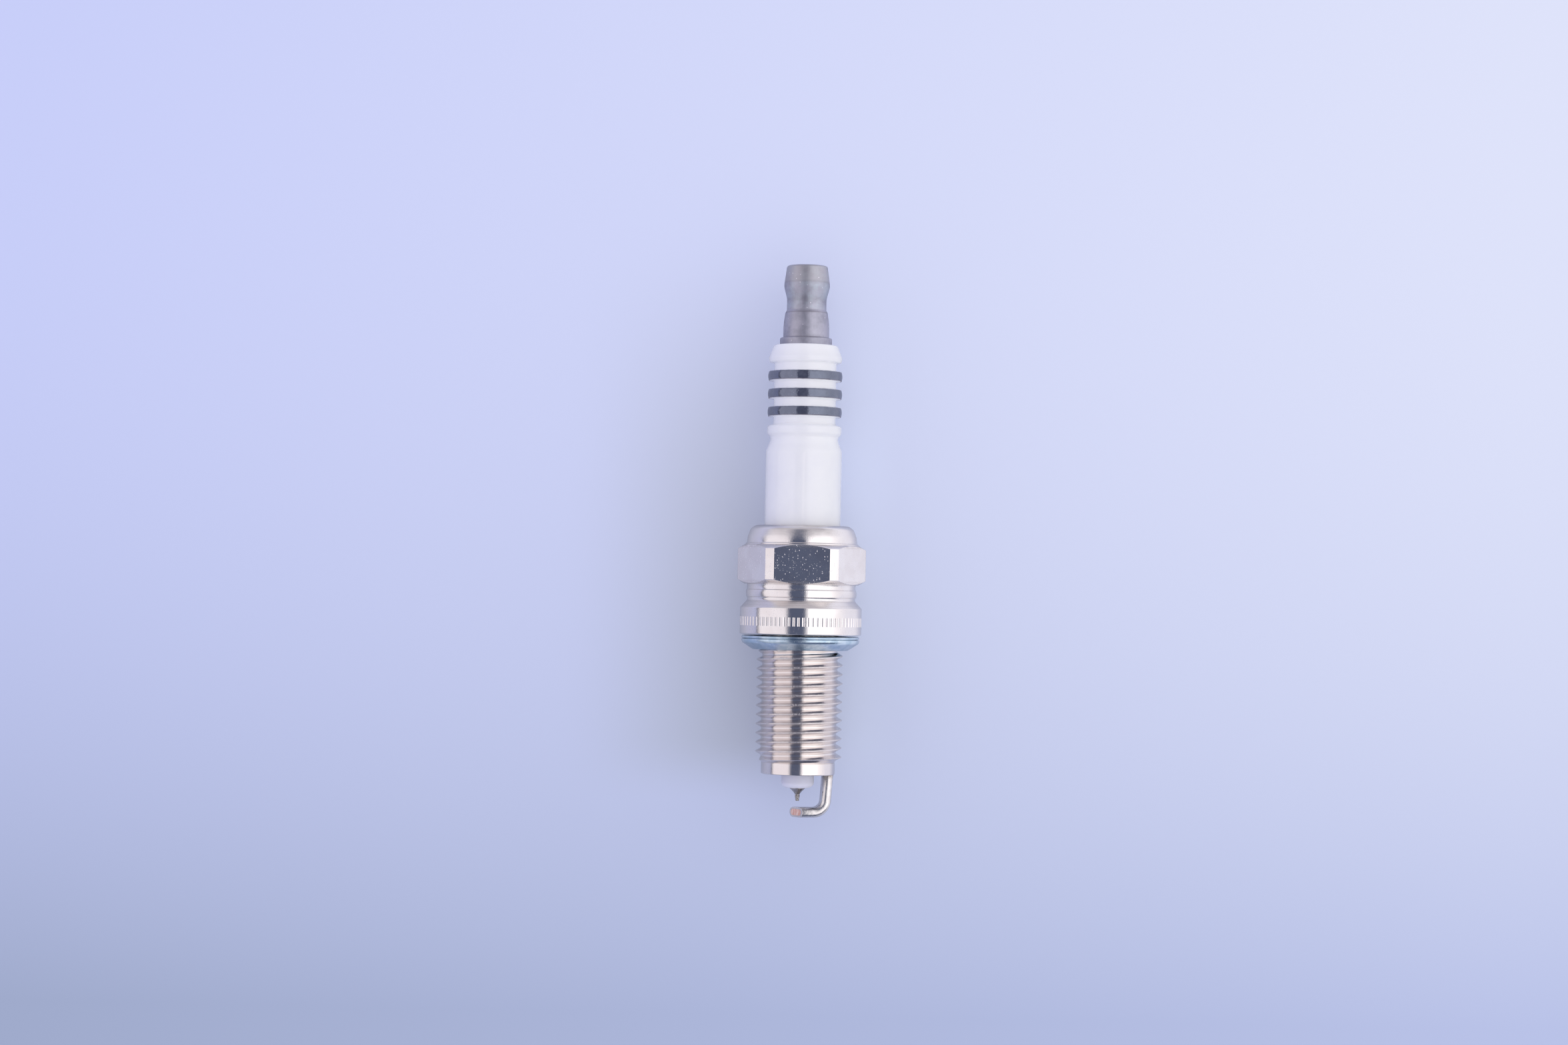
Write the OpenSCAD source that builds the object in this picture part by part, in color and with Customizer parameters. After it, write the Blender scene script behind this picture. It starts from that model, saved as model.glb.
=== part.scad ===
// Spark plug for a small engine: screwed shell, ribbed insulator, resistor column and two electrodes.
// +Z runs along the plug's axis towards the terminal, and z = 0 is the gasket's underside.

/* [Thread and reach] */
// Major diameter of the right-hand shell thread
thread_d = 11.75; // [11:0.05:14.1]
// Pitch of the shell thread
thread_pitch = 1.25; // [1:0.05:1.4]
// Reach, from the shell's seat face to its end
reach = 19; // [17:0.1:26.5]
// Length of the plain pilot at the shell's end
pilot_len = 1.55; // [1.5:0.05:3]
// Length of the plain relief under the flange, where the gasket turns
relief_len = 1.6; // [1.5:0.05:2]

/* [Hexagon and flange] */
// Hexagon width across its flats
hex_af = 15.8; // [15.6:0.1:19]
// Depth turned off each corner of the hexagon
hex_corner_cut = 0.37; // [0.2:0.01:0.6]
// Height of the hexagon
hex_h = 5.4; // [4:0.1:8]
// Diameter of the seat flange
flange_d = 16.6; // [16:0.1:20]
// Height of the seat flange
flange_h = 3.65; // [2.5:0.05:5]
// Number of serrations round the flange
serrations = 82; // [40:1:90]
// Depth of a serration
serration_depth = 0.12; // [0.05:0.01:0.2]
// Height of the serrated band
serration_h = 1.2; // [0.5:0.1:1.5]
// Diameter of the thin skirt between flange and hexagon
skirt_d = 14.7; // [14.3:0.1:15.4]
// Height of the skirt
skirt_h = 3.15; // [2.5:0.05:5]
// Diameter of the bead on the skirt
bead_d = 15.1; // [14.8:0.1:15.6]
// Height of the crimped lip above the hexagon
crimp_h = 2.63; // [2.3:0.01:4]

/* [Shell walls] */
// Wall between the thread's root and the middle bore
shell_wall = 1.2; // [1:0.05:1.5]
// Wall of the skirt
skirt_wall = 1; // [0.8:0.05:1.2]
// Width of the ledge that carries the insulator's seat
ledge_w = 0.75; // [0.6:0.05:0.9]
// Depth of the ledge below the seat face
ledge_depth = 5.3; // [4.5:0.1:7]
// Diameter of the bore at the firing end
end_bore_d = 6.8; // [6.6:0.1:7.4]

/* [Gasket] */
// Outer diameter of the folded gasket
gasket_d = 16.1; // [15.2:0.1:18]
// Height of the gasket before it is tightened
gasket_h = 1.9; // [1.8:0.05:2.2]
// Thickness of the gasket's sheet
gasket_sheet = 0.35; // [0.25:0.01:0.4]
// Slit between the folds
gasket_slit = 0.05; // [0.03:0.01:0.1]
// Free height between gasket and flange
gasket_float = 0.2; // [0.1:0.05:0.4]
// Radial gap between the gasket's lip and the relief
gasket_gap = 0.3; // [0.2:0.05:0.4]

/* [Insulator] */
// Height of the insulator above the seat face
insulator_h = 39.5; // [36:0.1:48]
// Barrel diameter
barrel_d = 10.38; // [10:0.02:10.8]
// Rib diameter
rib_d = 10.16; // [9.6:0.02:10.6]
// Diameter at the bottom of the grooves
groove_d = 8.47; // [8:0.01:9]
// Width of a groove
groove_w = 1.2; // [0.9:0.05:1.4]
// Spacing of the grooves
groove_pitch = 2.45; // [2.2:0.05:2.6]
// Depth of the first groove's middle below the top
first_groove = 3.03; // [2.8:0.01:3.5]
// Diameter of the top edge
head_d = 8.8; // [8:0.1:9.4]
// Thickness of the fired glaze rings
glaze_t = 0.18; // [0.1:0.01:0.3]
// Diameter of the insulator's main bore
bore_d = 3.8; // [3.6:0.05:4]
// Length of the nose beyond the shell
nose_out = 1.9; // [1:0.1:3]
// Diameter of the nose at its tip
nose_d = 4.45; // [4.1:0.05:4.8]

/* [Terminal] */
// Height of the terminal above the insulator
terminal_h = 10.9; // [9:0.1:13]
// Diameter of the terminal's head and of its foot
terminal_d = 6.27; // [6:0.01:6.4]
// Diameter of the waist that the cap's clip grips
waist_d = 5.4; // [5.1:0.05:5.7]
// Diameter of the terminal's flange
terminal_flange_d = 7.13; // [6.8:0.01:8]
// Thickness of the terminal's flange
terminal_flange_h = 1; // [0.7:0.05:1.5]
// Diameter of the stem inside the insulator
stem_d = 3.5; // [3.2:0.05:3.5]

/* [Resistor column] */
// Length of the resistor
resistor_len = 7; // [5:0.1:9]
// Length of each conductive glass seal
seal_len = 4; // [3:0.1:5]

/* [Electrodes] */
// Diameter of the centre electrode
electrode_d = 2.16; // [2:0.02:2.4]
// Diameter of the copper core in the centre electrode
core_d = 1.2; // [0.9:0.05:1.4]
// Length of the bare cone below the nose
cone_h = 0.85; // [0.6:0.05:1.2]
// Diameter of the iridium tip
tip_d = 0.5; // [0.4:0.02:0.7]
// Length of the iridium tip below the cone
tip_len = 0.92; // [0.7:0.02:1.2]
// Spark gap
spark_gap = 0.85; // [0.6:0.05:1.1]
// Thickness of the ground strap
strap_t = 1.4; // [1.2:0.05:1.5]
// Width of the ground strap
strap_w = 2.4; // [2:0.1:2.8]
// Inside radius of the strap's bend
strap_bend = 1.05; // [0.8:0.05:1.3]
// Inward lean of the strap's leg
strap_lean = 4; // [0:1:6]
// Direction of the strap round the axis
strap_turn = 9.5; // [-30:0.5:30]
// Angle of the trimmed end across the strap
strap_trim = 30; // [0:1:35]
// Radius along the strap's long edges
strap_round = 0.4; // [0.2:0.05:0.5]
// Nickel wall round the strap's copper core
strap_wall = 0.25; // [0.2:0.01:0.25]
// Radius along the copper core's long edges
strap_core_round = 0.3; // [0.2:0.05:0.3]

/* [Fits] */
// Radial gap between the collar and the upper bore
collar_gap = 0.1; // [0.05:0.01:0.2]
// Radial gap between the insulator and the middle bore
body_gap = 0.1; // [0.05:0.01:0.2]
// Radial gap between the barrel and the crimped lip
lip_gap = 0.05; // [0.03:0.01:0.1]
// Radial gap round the centre electrode
electrode_gap = 0.05; // [0.02:0.01:0.1]
// Radial gap round fired glass and glaze
fired_gap = 0.01; // [0.01:0.01:0.03]
// Radial gap round the packing rings
ring_gap = 0.02; // [0.01:0.01:0.05]
// Gap over the conical seats of the washer and the centre electrode
cone_gap = 0.02; // [0.01:0.01:0.05]

/* [Hidden] */
$fn = 64;

// Heights along the axis
seat_z = gasket_h + gasket_float;
shell_end_z = seat_z - reach;
pilot_top_z = shell_end_z + pilot_len;
relief_bottom_z = seat_z - relief_len;
thread_top_z = -0.3;
thread_start_z = pilot_top_z + 0.45;
flange_top_z = seat_z + flange_h;
hex_bottom_z = flange_top_z + skirt_h;
hex_top_z = hex_bottom_z + hex_h;
crimp_top_z = hex_top_z + crimp_h;
insulator_top_z = seat_z + insulator_h;
nose_end_z = shell_end_z - nose_out;

// Radii of the shell
crest_r = thread_d / 2;
thread_depth = 0.6134 * thread_pitch;
root_r = crest_r - thread_depth;
pilot_r = root_r - 0.08;
relief_r = root_r + 0.09;
upper_bore_r = skirt_d / 2 - skirt_wall;
middle_bore_r = root_r - shell_wall;
ledge_r = middle_bore_r - ledge_w;
end_bore_r = end_bore_d / 2;
lip_r = barrel_d / 2 + lip_gap;
hex_corner_r = hex_af / (2 * cos(30)) - hex_corner_cut;

// Insulator inside the shell
collar_r = upper_bore_r - collar_gap;
body_r = middle_bore_r - body_gap;
nose_root_r = ledge_r - 0.2;
nose_round = 0.9;
waist_barrel_r = barrel_d / 2 - 0.05;
bore_bottom_z = seat_z - 0.9;
small_bore_r = electrode_d / 2 + electrode_gap;

// Packing between the barrel and the upper bore
crimp_inside_z = crimp_top_z - 1.1;
collar_top_z = hex_bottom_z + 0.5;
collar_bottom_z = seat_z + 2.85;
ring_wire_r = (upper_bore_r - waist_barrel_r) / 2 - ring_gap;
ring_mid_r = (upper_bore_r + waist_barrel_r) / 2;
lower_ring_z = collar_top_z + ring_wire_r;
upper_ring_z = crimp_inside_z - ring_wire_r;

// Seat washer on the shell's ledge, between two parallel 45 degree cones
washer_rise = 0.42;
ledge_z = seat_z - ledge_depth;
body_end_z = ledge_z + washer_rise - body_gap;

// Resistor column in the insulator's main bore
head_h = 0.65;
head_r = bore_d / 2 - 0.15;
head_top_z = bore_bottom_z - 0.15 + head_h;
stub_r = 1.2;
stub_h = 0.9;
resistor_z = head_top_z + seal_len;
upper_seal_z = resistor_z + resistor_len;
stem_tip_r = stem_d / 2 - 0.25;
stem_tip_len = 2.8;
upper_seal_top_z = upper_seal_z + seal_len;

// Electrodes
tip_end_z = nose_end_z - cone_h - tip_len;
strap_top_z = tip_end_z - spark_gap;
cone_end_r = tip_d / 2 + 0.08;
tip_socket = 0.3;
weld_h = 0.55;
core_end_z = nose_end_z + 1.5;
strap_r = end_bore_r + strap_t / 2 + 0.02;
strap_mid_z = strap_top_z - strap_t / 2;
bend_r = strap_bend + strap_t / 2;
bend_z = strap_mid_z + bend_r;
leg_end_z = bend_z - bend_r * sin(strap_lean);
leg_len = (shell_end_z - leg_end_z) / cos(strap_lean);
leg_end_x = strap_r - leg_len * sin(strap_lean);
bend_x = leg_end_x - bend_r * cos(strap_lean);
trim_x = -0.15;
bend_steps = 10;
corner_steps = 4;
ring_n = 4 * (corner_steps + 1);

// Thread mesh: profile rows at root, crest, crest and root again
segments = 36;
flank = thread_depth * tan(30) / thread_pitch;
rows = [0, flank, flank + 0.125, 2 * flank + 0.125];
thread_z = shell_end_z + 0.1;
steps = segments + ceil(segments * ((relief_bottom_z + 0.15 - thread_z) / thread_pitch - rows[3]));

// Part of the way from 0 to 1 that x has covered
function ramp(x) = min(1, max(0, x));
// Share of the full thread depth at height z, fading to nothing at both ends
function thread_share(z) =
    ramp((thread_top_z - z) / thread_pitch) * ramp(2 * (z - thread_start_z) / thread_pitch);
// Root radius at height z, sunk inside the pilot at the lower end
function thread_root(z) = root_r - 0.18 * (1 - ramp((z - pilot_top_z) / 0.4));
// Point on the thread's surface: step t round the helix, profile row p
function thread_point(t, p) =
    let (z = thread_z + thread_pitch * (t / segments + rows[p]))
    let (crest = p == 1 || p == 2 ? thread_depth * thread_share(z) : 0)
    let (r = thread_root(z) + crest)
    [r * cos(360 * t / segments), r * sin(360 * t / segments), z];
// Quarter turns and other arcs as points
function arc(x, y, r, a, b, n) = [
    for (i = [0:n]) let (turn = a + (b - a) * i / n) [x + r * cos(turn), y + r * sin(turn)]
];

// Solid threaded rod, one helical strip with a stepped cap at each end
module threaded_rod() {
    low = 4 * (steps + 1);
    high = low + 1;
    last = 4 * steps;
    turn = 4 * segments;
    points = [
        for (t = [0:steps]) for (p = [0:3]) thread_point(t, p),
        [0, 0, thread_z + thread_pitch / 2],
        [0, 0, thread_z + thread_pitch * (steps / segments + 0.4)],
    ];
    faces = [
        for (t = [0:steps - 1]) for (p = [0:2]) let (a = 4 * t + p)
            each [[a, a + 1, a + 5], [a, a + 5, a + 4]],
        for (t = [0:steps - segments - 1]) let (a = 4 * t + 3, b = 4 * t + turn)
            each [[a, b, b + 4], [a, b + 4, a + 4]],
        for (t = [0:segments - 1]) [low, 4 * t, 4 * t + 4],
        for (t = [steps - segments:steps - 1]) [high, 4 * t + 7, 4 * t + 3],
        [low, turn, 3], [low, 3, 2], [low, 2, 1], [low, 1, 0],
        [high, last - turn + 3, last], [high, last, last + 1], [high, last + 1, last + 2],
        [high, last + 2, last + 3],
    ];
    polyhedron(points = points, faces = faces, convexity = 10);
}

// Hexagon with its corners turned round and chamfered at both ends
module hexagon() {
    flat_r = hex_af / 2;
    drop = (hex_corner_r - flat_r) * tan(32) + 0.25;
    intersection() {
        translate([0, 0, hex_bottom_z]) cylinder(h = hex_h, r = hex_af / (2 * cos(30)), $fn = 6);
        rotate_extrude() polygon([
            [0, hex_bottom_z], [flat_r - 0.25, hex_bottom_z], [hex_corner_r, hex_bottom_z + drop],
            [hex_corner_r, hex_top_z - drop], [flat_r - 0.25, hex_top_z], [0, hex_top_z],
        ]);
    }
}

// Flange band with evenly spaced serrations
module serrated_band(z) {
    pitch = 360 / serrations;
    outer = flange_d / 2 - 0.03;
    inner = outer - serration_depth;
    translate([0, 0, z]) linear_extrude(height = serration_h) polygon([
        for (i = [0:serrations - 1]) each [
            [outer * cos(pitch * i), outer * sin(pitch * i)],
            [outer * cos(pitch * (i + 0.5)), outer * sin(pitch * (i + 0.5))],
            [inner * cos(pitch * (i + 0.55)), inner * sin(pitch * (i + 0.55))],
            [inner * cos(pitch * (i + 0.95)), inner * sin(pitch * (i + 0.95))],
        ]
    ]);
}

// Turned outside of the shell, without the thread, the hexagon and the serrated band
module shell_outside() {
    edge = 0.12;
    band_z = seat_z + 1.15;
    band_top_z = band_z + serration_h;
    skirt_r = skirt_d / 2;
    bead_r = bead_d / 2;
    flange_r = flange_d / 2;
    bead_z = flange_top_z + 1.4;
    rotate_extrude() polygon([
        [0, shell_end_z], [pilot_r - edge, shell_end_z], [pilot_r, shell_end_z + edge],
        [pilot_r, pilot_top_z], [0, pilot_top_z],
    ]);
    rotate_extrude() polygon([
        [0, relief_bottom_z], [relief_r, relief_bottom_z], [relief_r, seat_z],
        [flange_r - edge, seat_z], [flange_r, seat_z + edge], [flange_r, band_z], [0, band_z],
    ]);
    serrated_band(band_z);
    rotate_extrude() polygon([
        [0, band_top_z], [flange_r, band_top_z], [flange_r, flange_top_z - edge],
        [skirt_r + 0.3, flange_top_z + 0.75], [skirt_r, flange_top_z + 1],
        [skirt_r, bead_z], [bead_r, bead_z + 0.15], [bead_r, bead_z + 0.95], [skirt_r + 0.05, bead_z + 1.15],
        [skirt_r + 0.05, hex_bottom_z], [0, hex_bottom_z],
    ]);
}

// Crimped lip: a bead on the hexagon that rolls in over the packing
module crimp() {
    bead_r = upper_bore_r + 1.4;
    roll = 2.1;
    rotate_extrude() polygon(concat(
        [[0, hex_top_z], [bead_r, hex_top_z], [bead_r, hex_top_z + crimp_h - roll]],
        arc(bead_r - roll, crimp_top_z - roll, roll, 6, 84, 9),
        [[bead_r - roll, crimp_top_z], [lip_r + 0.2, crimp_top_z]],
        [[lip_r, crimp_top_z - 0.2], [0, crimp_top_z - 0.2]]
    ));
}

// Stepped bore of the shell, from the packing chamber down to the firing end
module shell_bore() {
    over = 1;
    rotate_extrude() polygon([
        [0, shell_end_z - over], [end_bore_r, shell_end_z - over], [end_bore_r, ledge_z - ledge_w - 1.2],
        [ledge_r, ledge_z - ledge_w - 0.95], [ledge_r, ledge_z - ledge_w], [middle_bore_r, ledge_z],
        [middle_bore_r, collar_bottom_z - 2.3], [upper_bore_r, collar_bottom_z - 0.4],
        [upper_bore_r, crimp_inside_z], [lip_r, crimp_inside_z],
        [lip_r, crimp_top_z + over], [0, crimp_top_z + over],
    ]);
}

module shell() {
    color("gainsboro") difference() {
        union() {
            shell_outside();
            threaded_rod();
            hexagon();
            crimp();
        }
        shell_bore();
    }
}

// U-shaped groove with a round bottom, cut from the insulator's side
module groove_section(z, bottom_r) {
    translate([bottom_r + groove_w / 2, z]) circle(r = groove_w / 2);
    translate([bottom_r + groove_w / 2, z - groove_w / 2]) square([3, groove_w]);
}

function groove_z(i) = insulator_top_z - first_groove - i * groove_pitch;
function rib_top_z(i) = groove_z(i) - groove_w / 2;

// Outline of the insulator, axis to surface, before the grooves and the bore
module insulator_section() {
    rib_r = rib_d / 2;
    barrel_r = barrel_d / 2;
    flare_z = rib_top_z(3) - groove_pitch + groove_w;
    polygon(concat(
        [
            [0, insulator_top_z], [head_d / 2 - 0.2, insulator_top_z], [head_d / 2, insulator_top_z - 0.15],
            [rib_r - 0.06, insulator_top_z - 2], [rib_r - 0.15, rib_top_z(0) + groove_w + 0.05],
            [rib_r - 0.45, rib_top_z(0) + groove_w - 0.15], [rib_r, rib_top_z(0)],
            [rib_r, flare_z + 0.1], [rib_r - 0.15, flare_z - 0.1], [rib_r - 0.42, flare_z - 0.4],
            [rib_r - 0.46, flare_z - 0.75], [rib_r - 0.36, flare_z - 1.15], [barrel_r - 0.08, flare_z - 2.1],
            [barrel_r, flare_z - 2.5], [barrel_r, crimp_top_z + 0.05], [waist_barrel_r, crimp_top_z],
            [waist_barrel_r, collar_top_z], [collar_r, collar_top_z], [collar_r, collar_bottom_z],
            [body_r, collar_bottom_z - 1.8], [body_r, body_end_z],
            [nose_root_r, body_end_z - (body_r - nose_root_r)],
            [nose_d / 2, shell_end_z + 4.5],
        ],
        arc(nose_d / 2 - nose_round, nose_end_z + nose_round, nose_round, 0, -90, 8),
        [[0, nose_end_z]]
    ));
}

module insulator_bore() {
    over = 1;
    bore_r = bore_d / 2;
    rotate_extrude() polygon([
        [0, insulator_top_z + over], [bore_r, insulator_top_z + over], [bore_r, bore_bottom_z],
        [small_bore_r, bore_bottom_z - (bore_r - small_bore_r)], [small_bore_r, nose_end_z - over],
        [0, nose_end_z - over],
    ]);
}

module insulator() {
    color("white") difference() {
        rotate_extrude() difference() {
            insulator_section();
            for (i = [0:3]) groove_section(groove_z(i), groove_d / 2);
            for (i = [0:2]) translate([rib_d / 2 - glaze_t, rib_top_z(i) - (groove_pitch - groove_w)])
                square([glaze_t + 1, groove_pitch - groove_w]);
        }
        insulator_bore();
    }
}

// Fired black glaze on rib i
module glaze_ring(i) {
    outer = rib_d / 2;
    inner = outer - glaze_t + fired_gap;
    edge = 0.08;
    top = rib_top_z(i);
    bottom = top - (groove_pitch - groove_w);
    color("darkslategray") rotate_extrude() polygon([
        [inner, bottom], [outer - edge, bottom], [outer, bottom + edge],
        [outer, top - edge], [outer - edge, top], [inner, top],
    ]);
}

module glaze_ring_upper() { glaze_ring(0); }
module glaze_ring_middle() { glaze_ring(1); }
module glaze_ring_lower() { glaze_ring(2); }

// One-piece terminal: headed contact, flange and the stem that reaches down to the resistor column
module terminal_stud() {
    top = insulator_top_z + terminal_h;
    head_r = terminal_d / 2;
    waist_r = waist_d / 2;
    flange_top = insulator_top_z + terminal_flange_h;
    foot_top = flange_top + 1.75;
    flange_r = terminal_flange_d / 2;
    color("darkgray") rotate_extrude() polygon([
        [0, top], [head_r - 0.66, top], [head_r - 0.4, top - 0.12], [head_r - 0.34, top - 0.4],
        [head_r - 0.1, top - 1.6], [head_r - 0.01, top - 2.3], [head_r, top - 2.8],
        [head_r - 0.06, top - 3.3], [head_r - 0.25, top - 3.95], [waist_r + 0.04, top - 4.4], [waist_r, top - 4.8],
        [waist_r, foot_top + 2.05], [waist_r + 0.2, foot_top + 1.65], [waist_r + 0.3, foot_top + 1.2],
        [head_r, foot_top], [head_r, flange_top],
        [flange_r - 0.25, flange_top], [flange_r, flange_top - 0.25],
        [flange_r, insulator_top_z], [stem_d / 2, insulator_top_z], [stem_d / 2, upper_seal_top_z],
        [stem_tip_r, upper_seal_top_z], [stem_tip_r, upper_seal_top_z - stem_tip_len + 0.3],
        [stem_tip_r - 0.3, upper_seal_top_z - stem_tip_len], [0, upper_seal_top_z - stem_tip_len],
    ]);
}

// Glass column of the given ends, fused to the insulator's bore
module column(z, h) {
    translate([0, 0, z]) cylinder(h = h, r = bore_d / 2 - fired_gap);
}

module upper_glass_seal() {
    color("dimgray") difference() {
        column(upper_seal_z, seal_len);
        rotate_extrude() polygon([
            [0, upper_seal_top_z + 1], [stem_tip_r, upper_seal_top_z + 1],
            [stem_tip_r, upper_seal_top_z - stem_tip_len + 0.3],
            [stem_tip_r - 0.3, upper_seal_top_z - stem_tip_len], [0, upper_seal_top_z - stem_tip_len],
        ]);
    }
}

module resistor() {
    color("saddlebrown") column(resistor_z, resistor_len);
}

module lower_glass_seal() {
    color("dimgray") difference() {
        column(head_top_z, seal_len);
        translate([0, 0, head_top_z - 1]) cylinder(h = stub_h + 1, r = stub_r);
    }
}

// Nickel centre electrode with a seating head and a hollow cone that carries the tip
module centre_electrode() {
    rod_r = electrode_d / 2;
    cone_z = bore_bottom_z - (bore_d / 2 - head_r) + cone_gap;
    curve = 6;
    color("gray") difference() {
        rotate_extrude() polygon(concat(
            [[0, head_top_z + stub_h], [stub_r, head_top_z + stub_h], [stub_r, head_top_z]],
            [[head_r, head_top_z], [head_r, cone_z], [rod_r, cone_z - (head_r - rod_r)]],
            [for (i = [0:curve]) let (t = i / curve)
                [rod_r + (cone_end_r - rod_r) * (1 - pow(1 - t, 2.2)), nose_end_z - cone_h * t]],
            [[0, nose_end_z - cone_h]]
        ));
        translate([0, 0, core_end_z]) cylinder(h = head_top_z + stub_h + 1 - core_end_z, r = core_d / 2);
        translate([0, 0, nose_end_z - cone_h - 1]) cylinder(h = tip_socket + 1, r = tip_d / 2);
    }
}

module electrode_copper_core() {
    color("peru") translate([0, 0, core_end_z])
        cylinder(h = head_top_z + stub_h - core_end_z, r = core_d / 2 - fired_gap);
}

module iridium_tip() {
    color("slategray") translate([0, 0, tip_end_z])
        cylinder(h = tip_len + tip_socket, r = tip_d / 2 - fired_gap / 2);
}

module tip_weld() {
    top = nose_end_z - cone_h;
    color("dimgray") rotate_extrude() polygon([
        [tip_d / 2, top], [cone_end_r, top], [cone_end_r - 0.02, top - 0.15], [cone_end_r + 0.01, top - 0.3],
        [cone_end_r - 0.03, top - weld_h + 0.05], [tip_d / 2 + 0.02, top - weld_h], [tip_d / 2, top - weld_h],
    ]);
}

module packing_ring(z) {
    color("silver") rotate_extrude() translate([ring_mid_r, z]) circle(r = ring_wire_r);
}

module upper_packing_ring() { packing_ring(upper_ring_z); }
module lower_packing_ring() { packing_ring(lower_ring_z); }

// Pressed talc between the two rings, hollowed where they bear on it
module talc_packing() {
    color("beige") rotate_extrude() difference() {
        translate([waist_barrel_r + fired_gap, lower_ring_z])
            square([upper_bore_r - waist_barrel_r - 2 * fired_gap, upper_ring_z - lower_ring_z]);
        for (z = [lower_ring_z, upper_ring_z]) translate([ring_mid_r, z]) circle(r = ring_wire_r + fired_gap);
    }
}

// Conical washer between the insulator's seat and the shell's ledge
module seat_washer() {
    inner = ledge_r + 0.03;
    outer = body_r - 0.03;
    inner_z = ledge_z - (middle_bore_r - inner);
    outer_z = ledge_z - (middle_bore_r - outer);
    color("silver") rotate_extrude() polygon([
        [inner, inner_z + cone_gap], [outer, outer_z + cone_gap],
        [outer, outer_z + washer_rise - cone_gap], [inner, inner_z + washer_rise - cone_gap],
    ]);
}

// Folded gasket in three leaves: dished base, middle leaf and flat top leaf
module gasket() {
    outer = gasket_d / 2;
    lip = relief_r + gasket_gap;
    fold_r = gasket_sheet + gasket_slit / 2;
    top_z = gasket_h - fold_r;
    low_z = gasket_h - 2 * fold_r - gasket_sheet / 2;
    low_r = (gasket_h - gasket_sheet - gasket_slit - low_z) / 2 + gasket_sheet * 0.3;
    fold_in = lip + 0.35 + fold_r;
    fold_out = outer - fold_r;
    base_in = crest_r + 0.13;
    color("lightsteelblue") rotate_extrude() union() {
        difference() {
            union() {
                translate([fold_in, top_z]) circle(r = fold_r);
                translate([fold_in, top_z - fold_r]) square([fold_out - fold_in, 2 * fold_r]);
                translate([fold_out, gasket_h - gasket_sheet - gasket_slit - fold_r]) circle(r = fold_r);
            }
            translate([fold_in, top_z - gasket_slit / 2]) square([outer, gasket_slit]);
            translate([fold_out, top_z + gasket_slit / 2]) square([outer, gasket_sheet * 2]);
        }
        polygon([
            [lip, 0.16], [lip + 0.1, 0.06], [base_in, 0], [base_in + 0.5, 0], [base_in + 0.85, 0.16],
            [fold_out - 0.1, gasket_h - 3 * gasket_sheet - gasket_slit * 3 - 0.02],
            [fold_out + fold_r * 0.75, gasket_h - gasket_sheet - gasket_slit - fold_r * 1.66],
            [fold_out, gasket_h - gasket_sheet - gasket_slit - fold_r],
            [base_in + 0.6, gasket_sheet + 0.08], [base_in, gasket_sheet], [lip, gasket_sheet + 0.1],
        ]);
    }
}

// Rounded bar section as points: u across its thickness, v across its width
function bar_ring(t, w, r) = [
    for (k = [0:3]) for (i = [0:corner_steps])
        let (a = 90 * (k + i / corner_steps), u = k == 0 || k == 3 ? 1 : -1, v = k < 2 ? 1 : -1)
        [u * (t / 2 - r) + r * cos(a), v * (w / 2 - r) + r * sin(a)]
];
// Section point p on the leaning leg at height z
function on_leg(p, z) =
    let (along = (z - leg_end_z + p[0] * sin(strap_lean)) / cos(strap_lean))
    [leg_end_x + p[0] * cos(strap_lean) + along * sin(strap_lean), p[1], z];
// Section point p in the bend at angle a from the vertical
function on_bend(p, a) = [bend_x + (bend_r + p[0]) * cos(a), p[1], bend_z - (bend_r + p[0]) * sin(a)];
// Section point p on the trimmed end of the arm
function on_trim(p) = [trim_x - p[1] * tan(strap_trim), p[1], strap_mid_z - p[0]];
// Rings of points from the leg at height z round the bend to the trimmed end
function bar_skin(ring, z) = [
    [for (p = ring) on_leg(p, z)],
    for (i = [0:bend_steps]) [for (p = ring) on_bend(p, strap_lean + (90 - strap_lean) * i / bend_steps)],
    [for (p = ring) on_trim(p)],
];
// Faces between the rings of a skin whose first point has the index first
function skin_faces(rings, first) = [
    for (j = [0:rings - 2]) for (i = [0:ring_n - 1])
        let (a = first + j * ring_n + i, b = first + j * ring_n + (i + 1) % ring_n)
        each [[a, b, b + ring_n], [a, b + ring_n, a + ring_n]]
];
// The indices of one ring, and a list of faces turned inside out
function ring_face(first) = [for (i = [0:ring_n - 1]) first + i];
function inside_out(faces) = [for (f = faces) [for (i = [len(f) - 1:-1:0]) f[i]]];

module ground_copper_core() {
    t = strap_t - 2 * strap_wall - 2 * fired_gap;
    w = strap_w - 2 * strap_wall - 2 * fired_gap;
    skin = bar_skin(bar_ring(t, w, strap_core_round), shell_end_z - 0.6);
    last = (len(skin) - 1) * ring_n;
    color("peru") rotate([0, 0, strap_turn]) polyhedron(
        points = [for (ring = skin) each ring],
        faces = concat(skin_faces(len(skin), 0), inside_out([ring_face(0)]), [ring_face(last)]),
        convexity = 4
    );
}

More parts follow.
